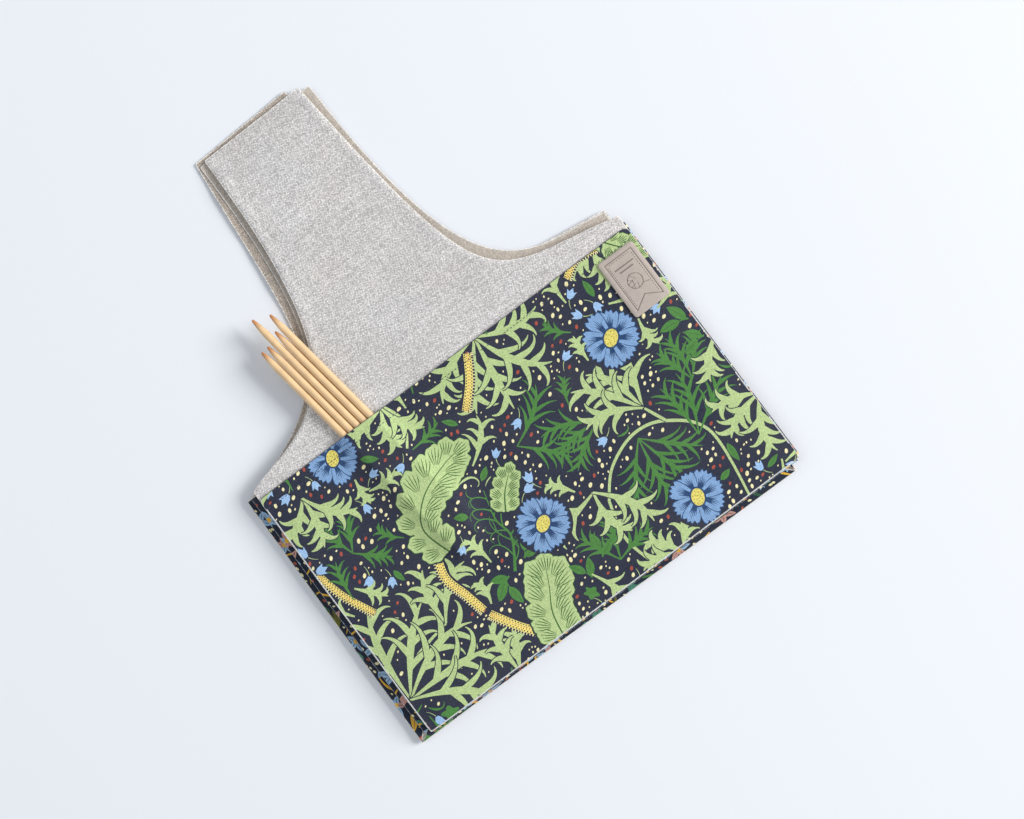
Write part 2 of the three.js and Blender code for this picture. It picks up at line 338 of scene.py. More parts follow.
def strap_relief(x, y):
    lowest = sum(part[0] for part in STRAP_RIPPLES)
    return lowest * 0.75 + ripples(x, y, STRAP_RIPPLES) * smoothstep(y, FALL_START, FALL_END) * 0.75


def laid(outline, panel, strap, relief, pinch, ridge):
    """The middle surface of a panel and its strap. pinch draws its edge towards its lining's, and
    ridge is how far the turned edge of the strap and the shoulders stands up."""
    panel_z = middle_height(panel)
    strap_z = underside(strap) + panel_z - underside(panel)

    def place(x, y):
        z = lerp(panel_z, strap_z, smoothstep(y, FALL_START, FALL_END)) + relief(x, y)
        inset = outline.inset(x, y)
        z = z + pinch * (1 - smoothstep(inset, 0, 4))
        turned_edge = (1 - smoothstep(inset, 6, 8.5)) * smoothstep(y, BEND - 4, BEND + 12)
        z = z + turned_edge * (ridge - 2 * ridge * (1 - smoothstep(inset, 0, 2)))
        return np.stack([x, y, z], -1)

    return place


DRAPE_STEP = 1.5
DRAPE_PULL = 0.026
DRAPE_ROUNDS = 1500


def solve_drape():
    """The height of the pocket above its flat place: a sheet pulled down over the needles, with
    room for each needle to be pushed further in."""
    step = DRAPE_STEP
    xs, ys = np.arange(-175, 0, step), np.arange(30, BEND + 6, step)
    x, y = np.meshgrid(xs, ys)
    bars = np.zeros_like(x)
    cover = CLEARANCE + POCKET_LINING + 0.1 + COTTON / 2
    for node in NEEDLES:
        middle = node_points(node).mean(0)
        dx, dy = x - middle[0], y - middle[1]
        along = dx * NEEDLE_AXIS[0] + dy * NEEDLE_AXIS[1]
        across = dx * NEEDLE_AXIS[1] - dy * NEEDLE_AXIS[0]
        along = np.where(along < 0, np.minimum(along + NEEDLE_PUSH + NEEDLE_ROOM, 0), along)
        over_end = np.maximum(np.abs(along) - NEEDLE_HALF, 0)
        radius = needle_radius(along) + cover
        top = middle[2] + np.sqrt(np.clip(radius ** 2 - across ** 2 - over_end ** 2, 0, None))
        touches = (across ** 2 + over_end ** 2) < radius ** 2
        bars = np.maximum(bars, np.where(touches, top - POCKET_Z, 0))
    height = bars.copy()
    pull = DRAPE_PULL * step * step / 4
    for _ in range(DRAPE_ROUNDS):
        padded = np.pad(height, 1, mode="edge")
        mean = (padded[:-2, 1:-1] + padded[2:, 1:-1] + padded[1:-1, :-2] + padded[1:-1, 2:]) / 4
        height = np.maximum(bars, np.maximum(mean - pull, 0))
        height[0] = 0
        height[:, 0] = height[:, -1] = 0
    return spline_grid(height, xs[0], ys[0], step)


def spline_grid(values, left, bottom, step):
    """A smooth height function from a grid of heights, by cubic B-splines."""
    rows, columns = values.shape

    def weights(t):
        return [(1 - t) ** 3 / 6, (3 * t ** 3 - 6 * t * t + 4) / 6,
                (-3 * t ** 3 + 3 * t * t + 3 * t + 1) / 6, t ** 3 / 6]

    def sample(x, y):
        gx = np.clip((x - left) / step, 1, columns - 3.001)
        gy = np.clip((y - bottom) / step, 1, rows - 3.001)
        ix, iy = gx.astype(int), gy.astype(int)
        across, up = weights(gx - ix), weights(gy - iy)
        total = 0.0
        for j in range(4):
            for i in range(4):
                total = total + across[i] * up[j] * values[iy + j - 1, ix + i - 1]
        return total

    return sample


POCKET_Z = underside("front_pocket") + COTTON / 2
drape = solve_drape()


def pocket_surface(offset):
    """A surface parallel to the front pocket's, at an offset from its middle."""

    def place(x, y):
        lift = drape(np.asarray(x, float), np.asarray(y, float))
        z = POCKET_Z + offset + front_relief(x, y) + lift
        return np.stack([x, y, z], -1)

    return place


def back_surface(node):
    level = middle_height(node)

    def place(x, y):
        return np.stack([x, y, level + back_relief(x, y)], -1)

    return place


# ---------------------------------------------------------------------------------------------
# Pleats: the gusset's cloth folds in from the front's edge to a crease and out to the back's edge

SEAM_TUCK = 4.0
BACK_TUCK = 0.6
FOLD_GAP = 0.3  # the fold stops this far short of the gusset's depth
ROLL_REACH = 5.0  # how far in from the front's edge the roll's cloth comes back under it


def pleat_profile(front_edge, back_edge, crease, overhang, front_z, back_z):
    """Points of the fold's cross-section, from the front seam to the back seam.
    Edges and heights may be arrays. The first coordinate grows inwards, the second upwards."""
    crease_z = (front_z + back_z) / 2
    inward = np.sign(crease - front_edge)
    return [
        (front_edge + inward * SEAM_TUCK, front_z + 0.05),
        (front_edge - inward * overhang * 0.45, front_z + 0.1),
        (front_edge - inward * overhang * 0.9, front_z - 0.1),
        (front_edge - inward * overhang, front_z - 0.55),
        (front_edge - inward * overhang * 0.8, front_z - 0.95),
        (front_edge + inward * ROLL_REACH, front_z - 1.05),
        (lerp(front_edge, crease, 0.5), lerp(front_z - 1.1, crease_z, 0.3)),
        (crease - inward * 5, crease_z + 0.55),
        (crease - inward * FOLD_GAP, crease_z + 0.3),
        (crease - inward * FOLD_GAP, crease_z - 0.3),
        (crease - inward * 5, crease_z - 0.65),
        (lerp(back_edge, crease, 0.5), back_z + 0.25),
        (back_edge + inward * BACK_TUCK, back_z),
    ]


def catmull_rom(controls, t):
    """Points of a smooth curve through rows of control points. t counts the controls."""
    first = np.clip(np.floor(t).astype(int), 0, len(controls) - 2)
    f = t - first
    rows = [np.clip(first + k, 0, len(controls) - 1) for k in (-1, 0, 1, 2)]
    picked = [np.take_along_axis(controls, row[None], 0)[0] for row in rows]
    p0, p1, p2, p3 = picked
    curve = -p0 + 3 * p1 - 3 * p2 + p3
    return 0.5 * (2 * p1 + (p2 - p0) * f + (2 * p0 - 5 * p1 + 4 * p2 - p3) * f ** 2 + curve * f ** 3)


def pleat_lengths(profile):
    """Cloth distance of each of the profile's points from the front seam."""
    points = np.array(profile, float)
    return np.concatenate([[0], np.cumsum(np.linalg.norm(np.diff(points, axis=0), axis=1))])


def pleat_place(profile_at, marks, assemble):
    """place(u, v) of a pleat: u runs over the fold, v along it."""

    def place(u, v):
        profile = profile_at(v)
        reach = np.array([np.broadcast_to(point[0], v.shape) for point in profile], float)
        height = np.array([np.broadcast_to(point[1], v.shape) for point in profile], float)
        t = np.interp(u, marks, np.arange(len(marks)))
        t = t + (u - np.clip(u, marks[0], marks[-1])) / 10
        return assemble(catmull_rom(reach, t), catmull_rom(height, t), v)

    return place


# ---------------------------------------------------------------------------------------------
# Cloth meshes


def triangulate(outline, shapes=(), inner=()):
    """Triangles of a flat outline, cut along every shape's edges.
    Gives points, triangles and, for each triangle, the last shape that covers it, or -1."""
    vertices = [Vector(point) for point in outline]
    faces = [list(range(len(vertices)))]
    for polygon, _ in shapes:
        first = len(vertices)
        vertices.extend(Vector(point) for point in polygon)
        faces.append(list(range(first, len(vertices))))
    vertices.extend(Vector(point) for point in inner)
    made = delaunay_2d_cdt(vertices, [], faces, 1, 1e-4, True)
    kept = [(triangle, max(source) - 1) for triangle, source in zip(made[2], made[5]) if 0 in source]
    triangles = np.array([triangle for triangle, _ in kept])
    covers = np.array([cover for _, cover in kept])
    used, flat = np.unique(triangles, return_inverse=True)
    points = np.array([made[0][i] for i in used])
    return points, flat.reshape(-1, 3), covers


def boundary_loop(triangles):
    """The outer loop of a triangulation, anticlockwise."""
    edges = {}
    seen = set()
    for a, b, c in triangles:
        for start, stop in ((a, b), (b, c), (c, a)):
            seen.add((start, stop))
    for start, stop in seen:
        if (stop, start) not in seen:
            edges[start] = stop
    first = next(iter(edges))
    loop = [first]
    while edges[loop[-1]] != first:
        loop.append(edges[loop[-1]])
    return np.array(loop)


def frame_at(place, u, v, step=0.4):
    """Points, both tangents and unit normals of a surface."""
    along_u = place(u + step, v) - place(u - step, v)
    along_v = place(u, v + step) - place(u, v - step)
    normal = np.cross(along_u, along_v)
    normal /= np.linalg.norm(normal, axis=1)[:, None]
    return place(u, v), along_u / (2 * step), along_v / (2 * step), normal


def outward(points):
    """Unit vectors pointing out of an anticlockwise loop."""
    ahead = np.roll(points, -1, 0) - np.roll(points, 1, 0)
    out = np.stack([ahead[:, 1], -ahead[:, 0]], -1)
    return out / np.maximum(np.linalg.norm(out, axis=1)[:, None], 1e-9)


RIM_ANGLES = np.radians([55, 18, -18, -55])


def cloth(name, outline, place, thickness, colours, shapes=(), spacing=5.0, inner=(), emboss=None):
    """A sheet with a front face, a back face and a rounded rim.
    colours holds its ground, back and rim colours; a rim may be a function of the flat position."""
    points = grid_inside(outline, spacing)
    if len(inner):
        points = np.vstack([points, inner])
    flat, front, covers = triangulate(outline, shapes, points)
    loop = boundary_loop(front)
    ring = flat[loop]
    back_flat, back, _ = triangulate(ring, (), points)
    back_loop = [int(np.argmin(((back_flat - point) ** 2).sum(1))) for point in ring]

    half = thickness / 2
    raised = place
    if emboss is not None:
        def raised(u, v):
            middle, _, _, normal = frame_at(place, u, v)
            return middle + normal * emboss(u, v)[:, None]
    middle, _, _, normal = frame_at(raised, flat[:, 0], flat[:, 1], 0.4 if emboss is None else 0.12)
    coords = [middle + normal * half]
    normals = [normal]
    uvs = [flat]
    centre, along_u, along_v, up = frame_at(place, ring[:, 0], ring[:, 1])
    out_flat = outward(ring)
    out = along_u * out_flat[:, :1] + along_v * out_flat[:, 1:]
    out /= np.linalg.norm(out, axis=1)[:, None]
    for angle in RIM_ANGLES:
        direction = up * math.sin(angle) + out * math.cos(angle)
        coords.append(centre + direction * half)
        normals.append(direction)
        uvs.append(ring + out_flat * half * (math.pi / 2 - angle))
    under, _, _, down = frame_at(place, back_flat[:, 0], back_flat[:, 1])
    coords.append(under - down * half)
    normals.append(-down)
    uvs.append(back_flat)

    first_rim = len(flat)
    count = len(loop)
    first_back = first_rim + count * len(RIM_ANGLES)
    rings = [loop] + [first_rim + k * count + np.arange(count) for k in range(len(RIM_ANGLES))]
    rings.append(first_back + np.array(back_loop))
    rim = []
    for upper, lower in zip(rings[:-1], rings[1:]):
        upper_next, lower_next = np.roll(upper, -1), np.roll(lower, -1)
        rim.append(np.stack([upper, lower, lower_next], -1))
        rim.append(np.stack([upper, lower_next, upper_next], -1))
    rim = np.vstack(rim)
    faces = np.vstack([front, rim, first_back + back[:, ::-1]])
    uv = np.vstack(uvs)

    ground, reverse, edge = colours
    palette = np.array([ground] + [colour for _, colour in shapes])
    face_colours = np.empty((len(faces), 3))
    face_colours[:len(front)] = palette[covers + 1]
    if callable(edge):
        at = uv[rim].mean(1)
        face_colours[len(front):len(front) + len(rim)] = edge(at[:, 0], at[:, 1])
    else:
        face_colours[len(front):len(front) + len(rim)] = edge
    face_colours[len(front) + len(rim):] = reverse
    return mesh_object(name, np.vstack(coords), faces, np.vstack(normals), uv, face_colours)


def mesh_object(name, coords, faces, normals=None, uv=None, face_colours=None):
    """A Blender object from millimetre points. uv is per vertex, face_colours per face."""
    mesh = bpy.data.meshes.new(name)
    mesh.from_pydata((np.asarray(coords) * MM).tolist(), [], np.asarray(faces).tolist())
    corners = np.empty(len(mesh.loops), int)
    mesh.loops.foreach_get("vertex_index", corners)
    if uv is not None:
        layer = mesh.uv_layers.new(name="cloth")
        layer.data.foreach_set("uv", np.asarray(uv, float)[corners].ravel())
    if face_colours is not None:
        sides = len(faces[0])
        layer = mesh.color_attributes.new("print", "FLOAT_COLOR", "CORNER")
        spread = np.repeat(np.asarray(face_colours, float), sides, axis=0)
        spread = np.hstack([spread, np.ones((len(spread), 1))])
        layer.data.foreach_set("color", spread.ravel())
    mesh.polygons.foreach_set("use_smooth", np.ones(len(mesh.polygons), bool))
    if normals is not None:
        mesh.normals_split_custom_set_from_vertices(np.asarray(normals).tolist())
    mesh.update()
    made = bpy.data.objects.new(name, mesh)
    bpy.context.scene.collection.objects.link(made)
    return made


# ---------------------------------------------------------------------------------------------
# Printed shapes. A shape is a polygon and its colour. Later shapes cover earlier ones.

NAVY = srgb(37, 43, 63)
LIGHT_LEAF = srgb(182, 204, 142)
LEAF = srgb(74, 131, 62)
LEAF_VEIN = srgb(62, 104, 50)
PETAL = srgb(128, 164, 208)
PETAL_VEIN = srgb(34, 68, 112)
BELL = srgb(158, 194, 234)
CREAM = srgb(240, 232, 180)
YELLOW = srgb(226, 212, 110)
OLIVE = srgb(104, 104, 38)
RUST = srgb(170, 78, 62)
OCHRE = srgb(240, 222, 124)


def sweep(start, heading, length, turn, curl=0.0, step=2.2):
    """A path that leaves start at a heading in degrees and turns steadily, with more turn at its end."""
    count = max(4, int(length / step))
    s = np.linspace(0, 1, count + 1)
    middle = (s[1:] + s[:-1]) / 2
    angle = np.radians(heading + turn * middle + curl * middle ** 3)
    steps = np.stack([np.cos(angle), np.sin(angle)], -1) * length / count
    return np.vstack([[start], start + np.cumsum(steps, 0)])


def through(points, step=2.2):
    """A smooth path through control points."""
    points = np.array(points, float)
    reach = pleat_lengths(points)
    count = max(4, int(reach[-1] / step))
    t = np.interp(np.linspace(0, reach[-1], count + 1), reach, np.arange(len(points)))
    return np.stack([catmull_rom(np.repeat(points[:, k][:, None], len(t), 1), t) for k in (0, 1)], -1)


def headings(path):
    ahead = np.gradient(path, axis=0)
    return np.degrees(np.arctan2(ahead[:, 1], ahead[:, 0]))


def ribbon(path, widths, colour):
    """A band along a path, as a chain of four-cornered shapes."""
    ahead = np.gradient(path, axis=0)
    ahead /= np.maximum(np.linalg.norm(ahead, axis=1)[:, None], 1e-9)
    across = np.stack([-ahead[:, 1], ahead[:, 0]], -1)
    half = np.broadcast_to(widths, (len(path),))[:, None] / 2
    left, right = path + across * half, path - across * half
    quads = convex(np.stack([right[:-1], right[1:], left[1:], left[:-1]], 1))
    return [(quad, colour) for quad in quads]


def convex(quads):
    """Each quad's corners in anticlockwise order round its middle."""
    offset = quads - quads.mean(1, keepdims=True)
    order = np.argsort(np.arctan2(offset[..., 1], offset[..., 0]), axis=1)
    return np.take_along_axis(quads, order[..., None], 1)


def taper(count, start, swell, end, peak=0.35):
    """Widths that grow from start to swell at the peak and fall to end."""
    s = np.linspace(0, 1, count)
    rising = lerp(start, swell, smoothstep(s, 0, peak))
    falling = lerp(swell, end, np.clip((s - peak) / (1 - peak), 0, 1) ** 1.15)
    return np.where(s < peak, rising, falling)


def blob(centre, radius_x, radius_y, angle, colour, sides=8):
    a = np.arange(sides) * TAU / sides
    turn = math.radians(angle)
    x, y = radius_x * np.cos(a), radius_y * np.sin(a)
    points = np.stack([x * math.cos(turn) - y * math.sin(turn), x * math.sin(turn) + y * math.cos(turn)], -1)
    return [(points + centre, colour)]


def banded(bands, colour, ground, halo):
    """Bands of one colour with a margin of ground round them, so that they part what they cross."""
    shapes = []
    if halo:
        for path, widths in bands:
            shapes += ribbon(path, widths + 2 * halo, ground)
    for path, widths in bands:
        shapes += ribbon(path, widths, colour)
    return shapes


def frond(rng, start, heading, length, width, colour, ground, turn, tines, spread, hook, halo=0.0):
    """An antler-like frond: a thin stalk that swells and sends curling tines out on both sides."""
    stem = sweep(start, heading, length, turn * 0.5, turn)
    bands = [(stem, taper(len(stem), width * 0.3, width, width * 0.12, 0.6))]
    along = headings(stem)
    side = rng.choice([-1, 1])
    for k in range(tines):
        s = lerp(0.34, 0.86, k / max(tines - 1, 1))
        i = int(s * (len(stem) - 1))
        side = -side
        reach = length * lerp(0.50, 0.28, s) * rng.uniform(0.88, 1.12)
        curl = side * hook * rng.uniform(0.7, 1.2)
        leaning = along[i] + side * spread * rng.uniform(0.85, 1.15)
        tine = sweep(stem[i], leaning, reach, curl * 0.4, curl, 1.8)
        bands.append((tine, taper(len(tine), width * 0.7, width * 0.78, width * 0.1, 0.3)))
    return banded(bands, colour, ground, halo)


def petal_outline(length, width):
    """A petal along +X from the flower's middle, with notches in its broad end."""
    s = np.linspace(0, 1, 7)
    side = width / 2 * (0.2 + 0.8 * np.sin(s * 0.5 * math.pi) ** 1.2)
    lower = np.stack([s * length * 0.84, -side], -1)
    upper = np.stack([s * length * 0.84, side], -1)[::-1]
    notches = [(0.94, -0.80), (0.86, -0.46), (1.0, -0.26), (0.92, 0), (1.0, 0.26), (0.86, 0.46), (0.94, 0.80)]
    end = [(length * reach, across * width / 2) for reach, across in notches]
    return np.vstack([lower, end, upper])


def turned(points, angle, centre):
    a = math.radians(angle)
    matrix = np.array([[math.cos(a), math.sin(a)], [-math.sin(a), math.cos(a)]])
    return points @ matrix + centre


def daisy(centre, radius, angle):
    """A blue flower with eight veined petals and a dotted oval eye."""
    shapes = blob(centre, radius * 1.08, radius * 1.08, 0, NAVY, 30)
    shapes += blob(centre, radius * 0.7, radius * 0.7, 0, PETAL_VEIN, 24)
    count = 8
    for k in range(count):
        heading = angle + k * 360 / count + 4 * math.sin(2.7 * k)
        length = radius * (1 + 0.05 * math.sin(4.1 * k))
        width = radius * 0.64
        shapes.append((turned(petal_outline(length + 0.8, width + 1.5), heading, centre), PETAL_VEIN))
        shapes.append((turned(petal_outline(length, width), heading, centre), PETAL))
        for vein in (-2, -1, 0, 1, 2):
            reach = radius * (0.80 - 0.07 * abs(vein))
            line = np.array([(radius * 0.2, vein * 0.45), (radius * 0.5, vein * 0.95), (reach, vein * 1.45)])
            shapes += ribbon(turned(line, heading, centre), np.array([1.1, 0.9, 0.25]), PETAL_VEIN)
    shapes += blob(centre, radius * 0.38, radius * 0.30, angle + 30, PETAL_VEIN, 18)
    shapes += blob(centre, radius * 0.32, radius * 0.24, angle + 30, YELLOW, 18)
    for k in range(18):
        reach, a = radius * 0.045 * math.sqrt(k + 0.5) * 1.5, k * 2.4
        at = np.array([(reach * math.cos(a) * 1.15, reach * math.sin(a) * 0.85)])
        shapes += blob(turned(at, angle + 30, centre)[0], 0.42, 0.42, 0, OLIVE, 5)
    return shapes


def bellflower(centre, size, angle, ground, petal=BELL, stalk=LIGHT_LEAF):
    """A small three-pointed bell on a thin stalk."""
    bell = np.array([(-0.45, -0.18), (-0.1, -0.42), (0.3, -0.52), (0.62, -0.62), (0.42, -0.28), (0.95, 0),
                     (0.42, 0.28), (0.62, 0.62), (0.3, 0.52), (-0.1, 0.42), (-0.45, 0.18)]) * size
    centre = np.array(centre, float)
    line = sweep(centre, angle + 180, size * 1.7, 50)
    shapes = ribbon(line, taper(len(line), 0.7, 0.6, 0.3), stalk)
    shapes.append((turned(bell * 1.22, angle, centre), ground))
    shapes.append((turned(bell, angle, centre), petal))
    return shapes


def almond(start, heading, length, width, colour, vein=None, turn=12):
    """A pointed leaf with an optional midrib."""
    path = sweep(start, heading, length, turn)
    s = np.linspace(0, 1, len(path))
    shapes = ribbon(path, np.maximum(width * np.sin(math.pi * s ** 0.85) ** 0.8, 0.3), colour)
    if vein:
        shapes += ribbon(path[1:-1], 0.45, vein)
    return shapes


def sprig(start, heading, length, leaves, size, colour, vein, turn=20):
    """A stem with paired almond leaves and one at its end."""
    stem = sweep(start, heading, length, turn)
    along = headings(stem)
    shapes = ribbon(stem, taper(len(stem), 1.5, 1.3, 0.7), colour)
    for k in range(leaves):
        i = int(lerp(0.3, 0.95, k / leaves) * (len(stem) - 1))
        side = 1 if k % 2 else -1
        shapes += almond(stem[i], along[i] + side * 48, size, size * 0.46, colour, vein, -side * 14)
    shapes += almond(stem[-1], along[-1], size, size * 0.44, colour, vein)
    return shapes


def lobe_outline(length, width):
    """A blunt lobe along +X with a gently scalloped edge."""
    a = np.linspace(0, TAU, 30, endpoint=False)
    swell = 1 + 0.06 * np.cos(7 * a)
    return np.stack([length * (0.5 + 0.5 * np.cos(a) * swell), width / 2 * np.sin(a) * swell], -1)


def lobed_leaf(points, half_width, lobes):
    """A broad leaf of blunt lobes on both sides of a rib, with a dark margin and veins in each lobe."""
    rib = through(points, 1.6)
    along = headings(rib)
    count = len(rib)
    parts = []
    for k in range(lobes):
        s = (k + 0.5) / lobes * 0.86
        i = int(s * (count - 1))
        size = half_width * (0.74 + 0.26 * math.sin(math.pi * s ** 0.8)) * (1 + 0.1 * math.sin(5.3 * k))
        for side in (-1, 1):
            parts.append((rib[i], along[i] + side * lerp(60, 34, s), size))
    parts.append((rib[int(0.82 * count)], along[-1], half_width * 0.85))
    shapes = []
    for margin, colour in ((1.5, NAVY), (0.5, LEAF_VEIN), (0.0, LIGHT_LEAF)):
        shapes += ribbon(rib, taper(count, 5, half_width * 0.95, 5, 0.4) + 2 * margin, colour)
        for at, heading, size in parts:
            lobe = lobe_outline(size + 2 * margin, size * 0.74 + 2 * margin) - (margin, 0)
            shapes.append((turned(lobe, heading, at), colour))
    for at, heading, size in parts:
        for vein in (-2, -1, 0, 1, 2):
            reach = size * (0.90 - 0.07 * abs(vein))
            line = np.array([(size * 0.3, vein * 0.9),
                             (size * 0.6, vein * size * 0.1),
                             (reach, vein * size * 0.12)])
            shapes += ribbon(turned(line, heading, at), np.array([0.35, 0.8, 0.3]), LEAF_VEIN)
    shapes += ribbon(rib, taper(count, 1.3, 1.1, 0.4), LEAF_VEIN)
    return shapes


def small_leaf(centre, size, angle, colour):
    """A small leaf with five round lobes."""
    a = np.linspace(0, TAU, 40, endpoint=False)
    reach = size * (0.52 + 0.32 * np.cos(2.5 * a) ** 2 + 0.1 * np.cos(a))
    outline = np.stack([reach * np.cos(a), reach * np.sin(a) * 0.8], -1)
    return [(turned(outline, angle, np.array(centre, float)), colour)]


def studded_stem(points, width):
    """An ochre band with dark studs along both edges, rust squares between and a fringe."""
    path = through(points, 2.1)
    ahead = np.gradient(path, axis=0)
    ahead /= np.linalg.norm(ahead, axis=1)[:, None]
    across = np.stack([-ahead[:, 1], ahead[:, 0]], -1)
    half = width / 2
    shapes = ribbon(path, width + 3.4, NAVY)
    for i in range(len(path)):
        tip = path[i] - across[i] * (half + 1.6)
        shapes += ribbon(np.array([path[i], tip]), 0.8, CREAM)
    shapes += ribbon(path, width, OCHRE)
    for i in range(len(path)):
        for side in (-1, 1):
            outer, inner = across[i] * side * half * 0.70, across[i] * side * half * 0.22
            shapes += blob(path[i] + outer, 0.62, 0.62, 0, NAVY, 6)
            shapes += blob(path[i] + ahead[i] * 0.9 + inner, 0.62, 0.5, 20, RUST, 4)
    return shapes


def curly_branch(rng, points, width, colour, twigs, reach):
    """A branch with thin curling twigs."""
    path = through(points)
    bands = [(path, taper(len(path), width, width * 0.8, 0.6, 0.2))]
    along = headings(path)
    for k in range(twigs):
        i = int(lerp(0.15, 0.97, k / twigs) * (len(path) - 1))
        side = 1 if k % 2 else -1
        size = reach * rng.uniform(0.6, 1.0)
        curl = side * rng.uniform(60, 150) * rng.choice([1, 1, -1])
        twig = sweep(path[i], along[i] + side * rng.uniform(25, 60), size, curl * 0.35, curl)
        bands.append((twig, taper(len(twig), 1.2, 1.0, 0.35)))
        mid = len(twig) // 2
        offshoot = sweep(twig[mid], headings(twig)[mid] - side * 40, size * 0.45, -curl * 0.4, -curl * 0.6)
        bands.append((offshoot, taper(len(offshoot), 0.9, 0.8, 0.3)))
    return banded(bands, colour, NAVY, 0.4)


class Printed:
    """The shapes printed on one piece, and which square millimetres of it they cover."""

    def __init__(self, outline, ground, seed):
        self.ground = ground
        self.rng = np.random.default_rng(seed)
        self.shapes = []
        self.low = outline.min(0) - 30
        self.size = (outline.max(0) + 30 - self.low).astype(int) + 1
        self.taken = np.zeros(self.size, bool)
        self.outline = outline

    def cells(self, shapes, grow=0):
        """Which cells the shapes cover, and those up to grow cells beside them."""
        mask = np.zeros(self.size, bool)
        by_corners = {}
        for polygon, colour in shapes:
            if colour != self.ground:
                by_corners.setdefault(len(polygon), []).append(polygon)
        for polygons in by_corners.values():
            polygons = np.array(polygons)
            middle = polygons.mean(1, keepdims=True)
            offset = polygons - middle
            shares = np.linspace(0, 1, 2 + int(np.abs(offset).max()))[:, None, None, None]
            found = (middle - self.low + offset * shares).reshape(-1, 2).astype(int)
            found = np.clip(found, 0, self.size - 1)
            mask[found[:, 0], found[:, 1]] = True
        for _ in range(grow):
            wider = mask.copy()
            wider[1:] |= mask[:-1]
            wider[:-1] |= mask[1:]
            wider[:, 1:] |= mask[:, :-1]
            wider[:, :-1] |= mask[:, 1:]
            mask = wider
        return mask

    def add(self, shapes):
        self.shapes += shapes
        self.taken |= self.cells(shapes)

    def add_best(self, variants):
        """Adds whichever variant of a motif touches least of what is there."""
        masks = [self.cells(shapes, 1) for shapes in variants]
        shares = [(mask & self.taken).sum() / max(mask.sum(), 1) for mask in masks]
        best = int(np.argmin(shares))
        if shares[best] < 0.45:
            self.shapes += variants[best]
            self.taken |= masks[best]

    def try_add(self, shapes, allowed=0.03, margin=1):
        """Adds the shapes if they hardly touch what is there."""
        mask = self.cells(shapes, margin)
        area = mask.sum()
        if area == 0 or (mask & self.taken).sum() > allowed * area:
            return False
        self.shapes += shapes
        self.taken |= mask
        return True

    def spot(self):
        low, high = self.outline.min(0), self.outline.max(0)
        return self.rng.uniform(low - 4, high + 4)

    def fill(self, tries, make, allowed=0.03, margin=1):
        """Tries motifs at random places. make(rng, place, heading) gives one."""
        for _ in range(tries):
            self.try_add(make(self.rng, self.spot(), self.rng.uniform(0, 360)), allowed, margin)

    def scatter(self, count, colour, size, clear):
        """Drops up to a number of small slanted ovals where the ground is free."""
        placed = 0
        for _ in range(25 * count):
            if placed == count:
                break
            at = self.spot()
            radius = self.rng.uniform(*size)
            cell = np.clip((at - self.low).astype(int), 4, self.size - 5)
            if self.taken[cell[0] - clear:cell[0] + clear + 1, cell[1] - clear:cell[1] + clear + 1].any():
                continue
            self.shapes += blob(at, radius, radius * 0.66, self.rng.uniform(20, 75), colour, 7)
            self.taken[cell[0] - clear:cell[0] + clear + 1, cell[1] - clear:cell[1] + clear + 1] = True
            placed += 1


# Fans of light fronds on the front pocket: where they spring from, the headings they take and their length.
LIGHT_FANS = [
    ((105, 105), (62, 88, 112, 138, 168), 52),
    ((34, 75), (196, 222, 250, 282, 310), 50),
    ((32, 229), (196, 226, 256, 290, 322), 62),
    ((-178, 30), (88, 66, 40, 12, -16), 74),
    ((-120, 62), (100, 140, 60), 46),
    ((-152, 208), (236, 262, 290), 42),
    ((186, 118), (176, 205, 232), 40),
    ((186, 60), (150, 186, 222), 44),
    ((60, 150), (236, 262, 212), 40),
    ((-60, 228), (190, 236, 282), 36),
    ((150, 232), (215, 250, 285), 34),
    ((-96, -4), (60, 96, 126), 40),
    ((64, -6), (70, 110, 140), 38),
]
GREEN_FANS = [
    ((128, 62), (30, 58, 92), 46),
    ((88, 88), (225, 252, 282, 310), 50),
    ((70, 118), (140, 168, 196), 44),
    ((8, 140), (20, 350, 320), 46),
    ((-146, 150), (60, 100, 320), 30),
    ((150, 100), (40, 70, 100), 34),
    ((20, 20), (20, 60, 110), 32),
]
DAISIES = [((118, 164), 23, 12), ((-114, 219), 21, 30), ((-12, 79), 22, 5), ((98, 23), 22, 40)]
VINES = [
    [(40, 62), (58, 82), (87, 93), (114, 86), (137, 58), (131, -4)],
    [(40, 62), (33, 30), (42, -6)],
    [(114, 86), (106, 104)],
    [(-178, 30), (-160, 52), (-120, 62)],
    [(-60, 232), (-52, 210), (-62, 190)],
]
STUDDED_STEMS = [
    ([(-90, 118), (-99, 92), (-94, 70), (-90, 52)], 6.5),
    ([(-88, 47), (-74, 24), (-56, 2)], 6.5),
    ([(-8, 186), (8, 203), (20, 222)], 6.0),
    ([(118, 222), (132, 230), (150, 228)], 5.5),
    ([(-178, 152), (-172, 128), (-160, 102)], 5.5),
]
LOBED_LEAVES = [
    ([(-84, 106), (-90, 132), (-74, 152), (-46, 163), (-24, 166)], 24, 8),
    ([(-52, -4), (-48, 18), (-38, 36), (-31, 50)], 25, 6),
    ([(-30, 104), (-22, 116), (-10, 127)], 15, 4),
    ([(158, 228), (168, 216), (184, 206)], 15, 4),
]
SPRIGS = [
    ((-58, 62), 196, 15), ((-62, 62), 252, 17), ((-40, 66), 40, 14), ((-6, 22), 100, 15),
    ((176, 140), 150, 18), ((178, 122), 168, 15), ((10, 30), 62, 15),
]


